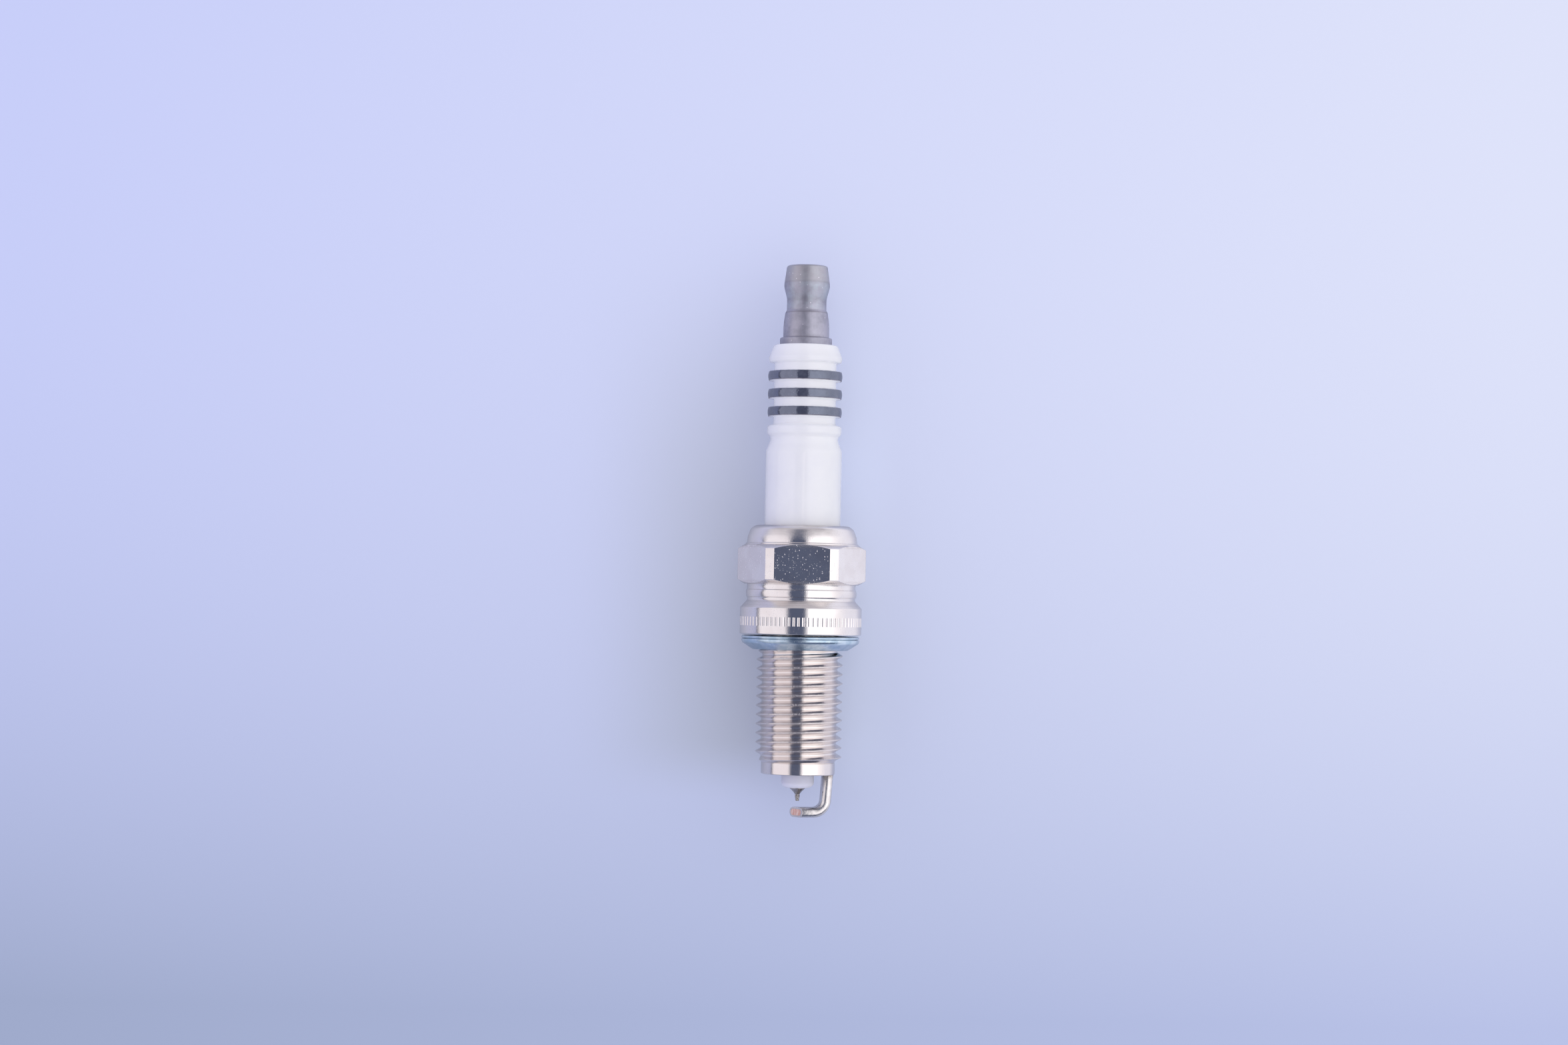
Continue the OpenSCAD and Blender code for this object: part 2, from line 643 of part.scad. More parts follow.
// Nickel strap with its core space and a low weld flash at the shell
module ground_electrode() {
    t = strap_t - 2 * strap_wall;
    w = strap_w - 2 * strap_wall;
    flash_h = 0.2;
    flash = [for (p = bar_ring(strap_t + 0.1, strap_w + 0.3, strap_round)) on_leg(p, shell_end_z)];
    outside = concat([flash], bar_skin(bar_ring(strap_t, strap_w, strap_round), shell_end_z - flash_h));
    inside = bar_skin(bar_ring(t, w, strap_core_round), shell_end_z - 0.6 + fired_gap);
    inner = len(outside) * ring_n;
    outer_end = inner - ring_n;
    inner_end = inner + (len(inside) - 1) * ring_n;
    color("silver") rotate([0, 0, strap_turn]) polyhedron(
        points = concat([for (ring = outside) each ring], [for (ring = inside) each ring]),
        faces = concat(
            skin_faces(len(outside), 0), inside_out(skin_faces(len(inside), inner)),
            inside_out([ring_face(0)]), [ring_face(inner)],
            [for (i = [0:ring_n - 1]) let (n = (i + 1) % ring_n)
                let (a = outer_end + i, b = inner_end + n)
                each [[a, outer_end + n, b], [a, b, inner_end + i]]]
        ),
        convexity = 6
    );
}

terminal_stud();
insulator();
glaze_ring_upper();
glaze_ring_middle();
glaze_ring_lower();
upper_glass_seal();
resistor();
lower_glass_seal();
centre_electrode();
electrode_copper_core();
tip_weld();
iridium_tip();
shell();
upper_packing_ring();
talc_packing();
lower_packing_ring();
seat_washer();
gasket();
ground_electrode();
ground_copper_core();
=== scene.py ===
from math import atan2, ceil, cos, degrees, hypot, pi, radians, sin, tan, tau

import bpy
from mathutils import Matrix, Vector


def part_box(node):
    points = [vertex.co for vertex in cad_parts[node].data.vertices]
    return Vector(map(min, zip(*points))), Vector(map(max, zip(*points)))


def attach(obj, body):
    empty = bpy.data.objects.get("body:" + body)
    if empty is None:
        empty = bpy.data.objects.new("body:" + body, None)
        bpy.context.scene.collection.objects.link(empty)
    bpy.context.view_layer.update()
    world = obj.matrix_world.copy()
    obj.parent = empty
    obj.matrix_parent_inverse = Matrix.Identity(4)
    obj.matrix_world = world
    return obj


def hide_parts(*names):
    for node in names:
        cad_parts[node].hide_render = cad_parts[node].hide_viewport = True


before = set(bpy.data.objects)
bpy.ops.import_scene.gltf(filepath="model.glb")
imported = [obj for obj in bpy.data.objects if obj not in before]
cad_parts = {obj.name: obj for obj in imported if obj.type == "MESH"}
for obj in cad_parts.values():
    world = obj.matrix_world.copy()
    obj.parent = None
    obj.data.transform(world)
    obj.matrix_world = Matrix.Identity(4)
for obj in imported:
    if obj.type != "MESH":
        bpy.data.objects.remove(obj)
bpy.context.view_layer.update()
mm = 0.001
tiny = 1e-7  # metres: points closer than this are one point


def spanOf(node):  # lowest and highest height of a CAD node, in mm
    low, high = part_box(node)
    return low.z / mm, high.z / mm


shellEnd, shellTop = spanOf("shell")
noseEnd, insulatorTop = spanOf("insulator")
stemEnd, terminalTop = spanOf("terminal_stud")
coneEnd, headTop = spanOf("centre_electrode")
tipEnd, tipTop = spanOf("iridium_tip")
coreLow = spanOf("electrode_copper_core")[0]
weldEnd = spanOf("tip_weld")[0]
collarTop = spanOf("lower_packing_ring")[0]
sealTop = spanOf("upper_glass_seal")[1]
gasketTop = spanOf("gasket")[1]
strapEnd = spanOf("ground_electrode")[0]
print("frame loaded:", len(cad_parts), "nodes")


# mesh helpers

def begin():  # back to object mode with nothing selected
    if bpy.context.object and bpy.context.object.mode != "OBJECT":
        bpy.ops.object.mode_set(mode="OBJECT")
    bpy.ops.object.select_all(action="DESELECT")


def pick(piece):
    begin()
    piece.select_set(True)
    bpy.context.view_layer.objects.active = piece


def applyModifier(piece, kind, **settings):
    pick(piece)
    bpy.ops.object.modifier_add(type=kind)
    modifier = piece.modifiers[-1]
    for key, value in settings.items():
        setattr(modifier, key, value)
    bpy.ops.object.modifier_apply(modifier=modifier.name)


def combine(piece, tool, operation):  # join or cut with a second solid, which is used up
    applyModifier(piece, "BOOLEAN", operation=operation, solver="MANIFOLD", object=tool)
    bpy.data.objects.remove(tool, do_unlink=True)


def tidyMesh(piece):  # merge doubles and turn the faces outwards
    pick(piece)
    bpy.ops.object.mode_set(mode="EDIT")
    bpy.ops.mesh.select_all(action="SELECT")
    bpy.ops.mesh.remove_doubles(threshold=tiny)
    bpy.ops.mesh.normals_make_consistent(inside=False)
    bpy.ops.object.mode_set(mode="OBJECT")
    if sum(face.center.dot(face.normal) * face.area for face in piece.data.polygons) < 0:
        bpy.ops.object.mode_set(mode="EDIT")
        bpy.ops.mesh.flip_normals()
        bpy.ops.object.mode_set(mode="OBJECT")


def trimBy(point, facing):  # cuts the piece in edit mode and keeps what lies behind the plane
    bpy.ops.mesh.select_all(action="SELECT")
    bpy.ops.mesh.bisect(plane_co=point * mm, plane_no=facing, use_fill=True, clear_outer=True, threshold=tiny)


def rounded(outline, closed=False, turn=12):  # a corner's third number is its fillet radius
    smooth = []
    most = 0.49  # a fillet takes less than half of the edges beside it
    for k, corner in enumerate(outline):
        here = Vector(corner[:2])
        if len(corner) == 2 or (not closed and k in (0, len(outline) - 1)):
            smooth.append(here)
            continue
        back = Vector(outline[k - 1][:2]) - here
        on = Vector(outline[(k + 1) % len(outline)][:2]) - here
        half = back.angle(on) / 2
        reach = min(corner[2] / tan(half), most * back.length, most * on.length)
        radius = reach * tan(half)
        middle = here + (back.normalized() + on.normalized()).normalized() * radius / sin(half)
        start = here + back.normalized() * reach - middle
        end = here + on.normalized() * reach - middle
        sweep = (atan2(end.y, end.x) - atan2(start.y, start.x) + pi) % tau - pi
        steps = max(2, ceil(abs(degrees(sweep)) / turn))
        for i in range(steps + 1):
            smooth.append(middle + Matrix.Rotation(sweep * i / steps, 2) @ start)
    return smooth


def chain(name, points):  # a single vertex drawn out along an outline of (radius, height), in mm
    path = [Vector((p[0], 0, p[1])) * mm for p in points]
    begin()
    bpy.ops.mesh.primitive_plane_add(size=mm)
    piece = bpy.context.object
    piece.name = name
    bpy.ops.object.mode_set(mode="EDIT")
    bpy.ops.mesh.merge(type="CENTER")
    bpy.ops.transform.translate(value=path[0])
    for here, there in zip(path, path[1:]):
        bpy.ops.mesh.extrude_region_move(TRANSFORM_OT_translate={"value": there - here})
    return piece


def turned(name, outline, closed=False, steps=144, turn=12):  # the outline spun about the plug's axis
    points = rounded(outline, closed, turn)
    if closed:
        points.append(points[0])
    piece = chain(name, points)
    bpy.ops.mesh.select_all(action="SELECT")
    bpy.ops.mesh.spin(steps=steps, angle=tau, center=(0, 0, 0), axis=(0, 0, 1))
    tidyMesh(piece)
    return piece


def finishPiece(piece, finish, nodes, body="plug", smooth=28):
    pick(piece)
    bpy.ops.object.shade_smooth_by_angle(angle=radians(smooth))
    applyModifier(piece, "WEIGHTED_NORMAL", keep_sharp=True, weight=60)
    piece.data.materials.clear()
    piece.data.materials.append(finish)
    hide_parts(*nodes)
    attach(piece, body)
    print("made", piece.name, len(piece.data.polygons), "faces")


# shader helpers

class Wire:  # one output socket that takes part in Python sums
    def __init__(self, paint, socket):
        self.paint = paint
        self.socket = socket

    def maths(self, operation, *others):
        return self.paint.node("ShaderNodeMath", {"operation": operation}, [self, *others])

    def __add__(self, other):
        return self.maths("ADD", other)

    def __sub__(self, other):
        return self.maths("SUBTRACT", other)

    def __rsub__(self, other):
        return self.paint.node("ShaderNodeMath", {"operation": "SUBTRACT"}, [other, self])

    def __mul__(self, other):
        return self.maths("MULTIPLY", other)

    def __truediv__(self, other):
        return self.maths("DIVIDE", other)

    def __pow__(self, other):
        return self.maths("POWER", other)

    def __lt__(self, other):
        return self.maths("LESS_THAN", other)

    def __abs__(self):
        return self.maths("ABSOLUTE")

    __radd__ = __add__
    __rmul__ = __mul__

    def rise(self, low, high):  # 0 below low, 1 above high, smooth between
        return self.paint.node(
            "ShaderNodeMapRange", {"interpolation_type": "SMOOTHSTEP"},
            {"Value": self, "From Min": low, "From Max": high},
        )

    def hump(self, up, down):  # up from 0 to 1 over one stretch, down again over another
        return self.rise(*up) * (1 - self.rise(*down))

    def within(self, low, high, soft):  # 1 between low and high
        return self.hump((low - soft, low + soft), (high - soft, high + soft))

    def near(self, middle, width):  # 1 at middle, 0 from width away
        return 1 - abs(self - middle).rise(0, width)

    def share(self, span):  # 0 up to 0, 1 from span on, straight between
        return self.maths("MAXIMUM", 0).maths("MINIMUM", span) / span


class Paint:  # one node tree; a piece's is measured in millimetres
    def __init__(self, tree, vector="Object"):
        self.tree = tree
        tree.nodes.clear()
        place = self.node("ShaderNodeTexCoord", out=vector)
        scale = 1 / mm if vector == "Object" else 1
        inputs = {"Vector": place, "Scale": scale}
        self.here = self.node("ShaderNodeVectorMath", {"operation": "SCALE"}, inputs)
        self.x, self.y, self.z = self.node("ShaderNodeSeparateXYZ", inputs=[self.here], out=("X", "Y", "Z"))

    def node(self, kind, settings=None, inputs=(), out=0):
        made = self.tree.nodes.new(kind)
        for key, value in (settings or {}).items():
            setattr(made, key, value)
        pairs = inputs.items() if isinstance(inputs, dict) else enumerate(inputs)
        for key, value in pairs:
            if isinstance(value, Wire):
                self.tree.links.new(value.socket, made.inputs[key])
            else:
                made.inputs[key].default_value = value
        if isinstance(out, tuple):
            return [Wire(self, made.outputs[o]) for o in out]
        return Wire(self, made.outputs[out]) if made.outputs else made

    def radius(self):
        return (self.x * self.x + self.y * self.y) ** 0.5

    def bearing(self):  # degrees round the axis, 0 towards the front and positive to the right
        return self.x.maths("ARCTAN2", self.y * -1) * (180 / pi)

    def stretched(self, x, y, z):
        return self.node("ShaderNodeVectorMath", {"operation": "MULTIPLY"}, [self.here, (x, y, z)])

    def along(self, x, y, z):  # a point put together from three numbers or wires
        return self.node("ShaderNodeCombineXYZ", inputs=[x, y, z])

    def noise(self, scale, detail=2, rough=0.5, place=None):
        inputs = {"Vector": place or self.here, "Scale": scale, "Detail": detail, "Roughness": rough}
        return self.node("ShaderNodeTexNoise", inputs=inputs, out="Fac")

    def specks(self, scale, share, size):  # scattered round dots, in a share of the cells
        inputs = {"Vector": self.here, "Scale": scale}
        distance, colour = self.node("ShaderNodeTexVoronoi", inputs=inputs, out=("Distance", "Color"))
        chance = self.node("ShaderNodeSeparateColor", inputs=[colour], out="Red")
        return (1 - distance.rise(size * 0.5, size)) * (chance < share)

    def blend(self, mask, first, second):
        def colour(value):
            return value if isinstance(value, Wire) else (*value, 1)
        inputs = {0: mask, 6: colour(first), 7: colour(second)}
        return self.node("ShaderNodeMix", {"data_type": "RGBA"}, inputs, out=2)

    def bump(self, height, distance):  # distance in mm for a height of 1
        return self.node("ShaderNodeBump", inputs={"Height": height, "Distance": distance * mm})


def newPaint(name):
    material = bpy.data.materials.new(name)
    material.use_nodes = True
    return material, Paint(material.node_tree)


def surface(paint, base, roughness, normal=None, **constants):
    inputs = {"Base Color": base if isinstance(base, Wire) else (*base, 1), "Roughness": roughness}
    inputs.update({key.replace("_", " "): value for key, value in constants.items()})
    if normal:
        inputs["Normal"] = normal
    shader = paint.node("ShaderNodeBsdfPrincipled", inputs=inputs)
    paint.node("ShaderNodeOutputMaterial", inputs=[shader])


# terminal

terminal = {
    "headRadius": 2.77,
    "bulgeRadius": 3.135,
    "waistRadius": 2.7,
    "flangeRadius": 3.565,
    "flangeHeight": 1.0,
    "bulgeHeight": 8.1,
    "waistTop": 6.35,
    "waistLow": 4.8,
    "stemRadius": 1.75,
    "tipRadius": 1.5,
}


def dullNickel():
    material, paint = newPaint("terminalNickel")
    height = paint.z - insulatorTop
    cloud = paint.noise(0.55, 3, 0.6)
    grain = paint.noise(9, 3, 0.7, paint.stretched(1, 1, 0.6))
    streak = paint.noise(3, 2, 0.5, paint.along(paint.bearing() * 0.08, 0, paint.z * 0.15))
    waistTop, waistLow, bulge = terminal["waistTop"], terminal["waistLow"], terminal["bulgeHeight"]
    # painted shade: darker bands in the creases where the profile turns, at the flange, the waist and above
    # the bulge
    creaseShade = height.near(terminal["flangeHeight"] + 0.02, 0.1) + height.near(waistLow - 0.35, 0.16) * 0.8
    creaseShade = creaseShade + height.near(waistTop - 0.15, 0.5) * 0.35 + height.near(bulge + 0.5, 0.25) * 0.3
    pits = paint.specks(2.0, 0.12, 0.17)
    blueCloud = paint.noise(0.9, 3, 0.65, paint.along(paint.x, 3, paint.z))
    tone = paint.blend(cloud.rise(0.35, 0.65), (0.37, 0.37, 0.435), (0.48, 0.475, 0.55))
    # bluer in cloudy patches above the waist, and greyer over the head
    blue = height.rise(waistLow - 0.2, waistLow + 0.4) * blueCloud.rise(0.35, 0.7)
    tone = paint.blend(blue * 0.6, tone, (0.5, 0.56, 0.62))
    tone = paint.blend(height.rise(bulge + 0.2, bulge + 0.8) * 0.5, tone, (0.5, 0.485, 0.5))
    tone = paint.blend(creaseShade * 0.5, tone, (0.22, 0.2, 0.22))
    tone = paint.blend(pits, tone, (0.9, 0.9, 0.94))
    roughness = 0.44 + cloud * 0.1 + grain * 0.08 - streak * 0.06
    normal = paint.bump(grain * 0.5 + cloud * 0.5 - pits * 0.8, 0.016)
    surface(paint, tone, roughness, normal, Metallic=1.0)
    return material


def makeTerminal():
    s = terminal
    base = insulatorTop
    outline = [
        (0, terminalTop), (s["headRadius"], terminalTop, 0.32),
        (s["bulgeRadius"] + 0.02, base + s["bulgeHeight"], 1.7),
        (s["waistRadius"], base + s["waistTop"], 1.4), (s["waistRadius"], base + s["waistLow"], 0.2),
        (2.9, base + s["waistLow"] - 0.38, 0.25),
        (3.08, base + 3.2, 1.5), (s["bulgeRadius"], base + 2.4, 2),
        (s["bulgeRadius"], base + s["flangeHeight"], 0.06),
        (s["flangeRadius"], base + s["flangeHeight"], 0.27), (s["flangeRadius"], base, 0.08),
        (s["stemRadius"], base), (s["stemRadius"], sealTop), (s["tipRadius"], sealTop),
        (s["tipRadius"], stemEnd, 0.3), (0, stemEnd),
    ]
    piece = turned("terminal", outline, turn=8)
    finishPiece(piece, dullNickel(), ["terminal_stud"])


makeTerminal()

# insulator and its glaze

insulator = {
    "ribRadius": 5.08,
    "barrelRadius": 5.19,
    "grooveRadius": 4.235,
    "grooveWidth": 1.2,
    "groovePitch": 2.45,
    "firstGroove": 3.03,
    "glaze": 0.18,
    "crown": 21.0,
    "grooveRound": 0.58,
    "boreRadius": 1.9,
    "rodRadius": 1.13,
    "noseRadius": 2.225,
    "noseRound": 1.0,
    "noseRise": 0.75,
    "neckRadius": 4.62,
    "collarRadius": 6.25,
    "collarLow": 4.95,
    "bodyRadius": 3.808,
    "bodyTop": 3.15,
    "bodyLow": -2.88,
    "seatRadius": 2.958,
    "seatLow": -3.73,
    "headSeat": (1.2, 0.43),
}


def grooveMiddle(i):
    return insulatorTop - insulator["firstGroove"] - i * insulator["groovePitch"]


def whiteGlaze():
    material, paint = newPaint("whiteGlaze")
    cloud = paint.noise(0.35, 2)
    ripple = paint.noise(0.9, 2, 0.4)
    specks = paint.specks(0.9, 0.05, 0.09)
    dust = paint.specks(2.1, 0.03, 0.12)
    tone = paint.blend(cloud.rise(0.3, 0.7), (0.9, 0.9, 0.925), (0.925, 0.925, 0.94))
    # painted light: whiter in the grooves, against the shade that falls there
    tone = paint.blend((1 - paint.radius().rise(4.4, 5.0)) * 0.8, tone, (0.99, 0.99, 1.0))
    # the nose below the shell is bare, unglazed and rougher, and a painted shade makes it darker and more
    # lavender
    bareShadedNose = 1 - paint.z.rise(shellEnd, shellEnd + 1)
    tone = paint.blend(bareShadedNose, tone, (0.76, 0.76, 0.87))
    tone = paint.blend(specks * 0.5, tone, (0.55, 0.52, 0.55))
    tone = paint.blend(dust * 0.3, tone, (0.72, 0.72, 0.78))
    surface(paint, tone, 0.13 + cloud * 0.06 + bareShadedNose * 0.3, paint.bump(ripple, 0.012), Specular_IOR_Level=0.5,
            Subsurface_Weight=0.12, Subsurface_Radius=(0.001, 0.001, 0.0011))
    return material


def blackGlaze():
    material, paint = newPaint("blackGlaze")
    fromTop = insulatorTop - paint.z
    first = insulator["firstGroove"] + insulator["grooveWidth"] / 2
    wobble = (paint.noise(3.5, 3, 0.7) - 0.5) * 0.16
    bandWidth = insulator["groovePitch"] - insulator["grooveWidth"]
    within = ((fromTop - first) / insulator["groovePitch"]).maths("FRACT") * insulator["groovePitch"] + wobble
    lowerEdge = within.rise(bandWidth - 0.15, bandWidth - 0.05)
    upperEdge = 1 - within.rise(0.03, 0.1)
    peel = paint.noise(4, 2)
    pin = paint.specks(3.2, 0.14, 0.15)
    tone = paint.blend(paint.noise(1.4, 3).rise(0.4, 0.7), (0.056, 0.058, 0.08), (0.08, 0.084, 0.11))
    tone = paint.blend(lowerEdge * 0.7, tone, (0.16, 0.12, 0.12))
    tone = paint.blend(upperEdge * 0.6, tone, (0.3, 0.3, 0.35))
    tone = paint.blend(pin * 0.6, tone, (0.4, 0.42, 0.5))
    roughness = 0.06 + peel * 0.05 + (lowerEdge + upperEdge) * 0.3 + pin * 0.2
    normal = paint.bump(peel + pin * 0.6, 0.014)
    surface(paint, tone, roughness, normal, IOR=2.5, Specular_Tint=(0.7, 0.79, 1, 1))
    return material


def makeInsulator():
    s = insulator
    top, rib, barrel = insulatorTop, s["ribRadius"], s["barrelRadius"]
    core = rib - s["glaze"]
    outline = [
        (s["boreRadius"], top, 0.15), (4.35, top, 0.4), (5.03, top - 1.75, 0.5), (4.93, top - 2.34, 0.25),
    ]
    for i in range(4):
        high = grooveMiddle(i) + s["grooveWidth"] / 2
        low = grooveMiddle(i) - s["grooveWidth"] / 2
        above = s["neckRadius"] if i == 0 else core - 0.02
        below = core if i < 3 else rib
        outline += [
            (above, high, 0.06), (s["grooveRadius"], high, s["grooveRound"]),
            (s["grooveRadius"], low, s["grooveRound"]), (below, low, 0.5 if i == 3 else 0.05),
        ]
    rim = grooveMiddle(3) - s["grooveWidth"] / 2
    steps = 8
    nose = [
        (s["noseRadius"] - s["noseRound"] * (1 - cos(a)), noseEnd + s["noseRise"] * (1 - sin(a)))
        for a in [pi / 2 * k / steps for k in range(steps + 1)]
    ]
    outline += [
        (rib, rim - 1.15, 0.55), (4.66, rim - 1.6, 0.4), (s["neckRadius"], rim - 2.0, 0.5),
        (4.75, rim - 2.4, 0.6), (barrel, rim - 3.5, 1.6), (barrel, shellTop + 0.05),
        (barrel - 0.05, shellTop - 0.1),
        (barrel - 0.05, collarTop, 0.1),
        (s["collarRadius"], collarTop, 0.15), (s["collarRadius"], s["collarLow"]),
        (s["bodyRadius"], s["bodyTop"]), (s["bodyRadius"], s["bodyLow"]), (s["seatRadius"], s["seatLow"]),
        (s["noseRadius"], shellEnd + 4.5), *nose, (s["rodRadius"], noseEnd, 0.1),
        (s["rodRadius"], s["headSeat"][1]), (s["boreRadius"], s["headSeat"][0]),
    ]
    piece = turned("insulator_body", outline, closed=True, steps=160, turn=10)
    finishPiece(piece, whiteGlaze(), ["insulator"])


def makeGlazeRing(i, name, surfaceOfRing):
    s = insulator
    high = grooveMiddle(i) - s["grooveWidth"] / 2
    low = grooveMiddle(i + 1) + s["grooveWidth"] / 2
    inner = s["ribRadius"] - s["glaze"] + 0.01
    half = (high - low) / 2
    middle = (low + high) / 2
    bow = half / sin(radians(s["crown"]))  # the band's face bulges along an arc of this radius
    face = [radians(s["crown"]) * k / 6 for k in range(-6, 7)]
    face = [(s["ribRadius"] - bow * (1 - cos(a)), low + half + bow * sin(a), 0.1) for a in face]
    outline = [(inner, low + 0.02), (inner + 0.03, low, 0.01), *face]
    outline += [(inner + 0.03, high, 0.01), (inner, high - 0.02)]
    piece = turned(name + "_band", outline, closed=True, steps=220, turn=10)
    for vertex in piece.data.vertices:  # the fired edges run a little up and down
        p = vertex.co / mm
        edge = 1 if p.z > middle else -1
        near = max(0, abs(p.z - middle) / (high - low) * 2 - 0.6)
        turnAt = atan2(p.y, p.x)
        ragged = sin(turnAt * 9 + i) + sin(turnAt * 23 + 2 * i + edge) + 0.7 * sin(turnAt * 47 + 3 * i)
        vertex.co.z -= edge * near * (0.02 + 0.012 * ragged) * mm
    finishPiece(piece, surfaceOfRing, [name], smooth=40)


makeInsulator()
ringGlaze = blackGlaze()
for i, name in enumerate(["glaze_ring_upper", "glaze_ring_middle", "glaze_ring_lower"]):
    makeGlazeRing(i, name, ringGlaze)

# shell

shell = {
    "reach": 19.0,
    "pilotRadius": 5.03,
    "pilotLength": 1.55,
    "pitch": 1.25,
    "crest": 5.875,
    "root": 5.108,
    "crestFlat": 0.1,
    "crestAtRight": 0.49,
    "shallow": 0.42,
    "turns": 14,
    "flangeRadius": 8.3,
    "flangeHeight": 3.65,
    "skirtRadius": 7.36,
    "beadRadius": 7.56,
    "hollow": 0.07,
    "bulge": 0.06,
    "hexFlats": 15.8,
    "hexCorners": 17.5,
    "hexHeight": 5.4,
    "lipRadius": 5.24,
    "serrations": 82,
    "serrationRadius": 0.26,
    "serrationOut": 0.19,
    "serrationHeight": 1.2,
    "serrationFoot": 1.15,
    "mouthRadius": 3.5,
    "noseBore": 3.4,
    "ledgeRadius": 3.158,
    "ledgeTop": -3.95,
    "ledgeLow": -4.9,
    "boreRadius": 3.908,
    "pocketRadius": 6.35,
    "pocketLow": 4.55,
    "crimpThick": 1.1,
}
seat = shellEnd + shell["reach"]
flangeTop = seat + shell["flangeHeight"]
hexTop = shellTop - 2.63
hexBottom = hexTop - shell["hexHeight"]


def brightNickel():
    material, paint = newPaint("shellNickel")
    radius = paint.radius()
    crimp = paint.z.rise(hexTop + 0.1, hexTop + 1.2)
    chamfers = paint.z.within(flangeTop, flangeTop + 0.95, 0.05) + paint.z.near(hexTop - 0.2, 0.5)
    chamfers = chamfers + paint.z.near(hexBottom + 0.2, 0.5)
    flats = paint.z.within(hexBottom + 0.1, hexTop - 0.1, 0.05)
    threads = 1 - paint.z.rise(-0.3, 0)
    crests = threads * radius.rise(shell["crest"] - 0.22, shell["crest"] - 0.08)
    patch = paint.noise(0.35, 2)
    grain = paint.noise(11, 2, 0.6)
    fine = paint.noise(26, 2, 0.6)
    rings = paint.noise(7, 2, 0.6, paint.along(radius, 0, paint.z * 1.3))
    pitted = (hexTop - paint.z - paint.x * 0.6).rise(-3, 9)  # more of them towards -X and the flange
    pits = paint.specks(3, 0.35, 0.28) * (0.5 + pitted * 0.5) + paint.specks(2.1, 0.4, 0.19)
    pits = pits + paint.specks(5, 0.4, 0.3) * patch.rise(0.4, 0.6) * pitted
    pits = (pits * (0.15 + 0.85 * flats)).maths("MINIMUM", 1)
    worn = crests * grain.rise(0.52, 0.62)
    tone = paint.blend(patch.rise(0.35, 0.65), (0.78, 0.745, 0.73), (0.83, 0.805, 0.79))
    tone = paint.blend(threads * 0.7, tone, (0.8, 0.745, 0.72))
    tone = paint.blend(chamfers * rings.rise(0.35, 0.7) * 0.6, tone, (0.5, 0.45, 0.43))
    cloud = paint.noise(0.5, 3, 0.7, paint.along(paint.bearing() * 0.03, paint.z * 0.8, 7))
    stain = crimp * cloud.rise(0.5, 0.7)
    lip = paint.z.rise(shellTop - 0.35, shellTop - 0.1)
    tone = paint.blend(stain * 0.35 + lip * 0.4, tone, (0.42, 0.39, 0.38))
    tone = paint.blend(pits.maths("MAXIMUM", worn), tone, (0.8, 0.77, 0.79))
    roughness = 0.08 + crimp * 0.16 + chamfers * 0.1 + threads * 0.03 + worn * 0.35 + patch * 0.03
    height = worn * 0.5 + grain * (0.35 + crimp * 0.3) + fine * 0.12 + rings * (0.05 + chamfers * 0.9)
    surface(paint, tone, roughness, paint.bump(height, 0.014), Metallic=1 - pits * 0.9)
    return material


def arc(radius, low, high, sag):  # a ring's hollow or bulging face between two heights
    steps = 8
    shares = [k / steps for k in range(steps + 1)]
    return [(radius + sag * sin(pi * t), low + (high - low) * t, 0.02) for t in shares]


def shellBody():
    s = shell
    core = s["root"] - 0.25
    relief = 5.2
    pilotTop = shellEnd + s["pilotLength"]
    outline = [
        (0, shellEnd), (s["pilotRadius"], shellEnd, 0.14), (s["pilotRadius"], pilotTop, 0.1),
        (core, pilotTop + 0.15), (core, seat - 1.75), (relief, seat - 1.6, 0.05), (relief, seat, 0.1),
        (s["flangeRadius"], seat, 0.16), (s["flangeRadius"], flangeTop - 0.06, 0.14),
        *arc(s["skirtRadius"] + 0.06, flangeTop + 0.9, flangeTop + 1.39, -s["hollow"]),
        *arc(s["beadRadius"] - 0.06, flangeTop + 1.46, flangeTop + 2.36, s["bulge"]),
        *arc(s["skirtRadius"] + 0.08, flangeTop + 2.43, hexBottom - 0.02, -s["hollow"]),
        (s["skirtRadius"] - 0.3, hexBottom + 0.3), (s["skirtRadius"] - 0.3, hexTop - 0.3),
        (7.72, hexTop - 0.1), (7.72, hexTop + 0.14, 0.05), (7.54, hexTop + 0.22, 0.08),
        (7.44, hexTop + 1.1, 1.5), (7.0, shellTop - 0.42, 0.9), (6.35, shellTop - 0.02, 0.5),
        (s["lipRadius"] - 0.3, shellTop, 0.02), (0, shellTop),
    ]
    return turned("shell_body", outline, steps=192, turn=9)


def shellHexagon():
    s = shell
    flat, corner = s["hexFlats"] / 2, s["hexCorners"] / 2
    drop = 0.6
    outline = [
        (0, hexBottom), (flat - 0.12, hexBottom), (corner, hexBottom + drop), (corner, hexTop - drop),
        (flat - 0.12, hexTop), (0, hexTop),
    ]
    piece = turned("hexagon", outline, steps=360)
    bpy.ops.object.mode_set(mode="EDIT")
    for k in range(6):
        facing = Vector((sin(radians(60 * k)), -cos(radians(60 * k)), 0))
        trimBy(facing * flat, facing)
    bpy.ops.object.mode_set(mode="OBJECT")
    applyModifier(piece, "BEVEL", width=0.045 * mm, segments=2, limit_method="ANGLE", angle_limit=radians(22),
                  use_clamp_overlap=True)
    tidyMesh(piece)
    return piece


def clamp(value):
    return min(1, max(0, value))


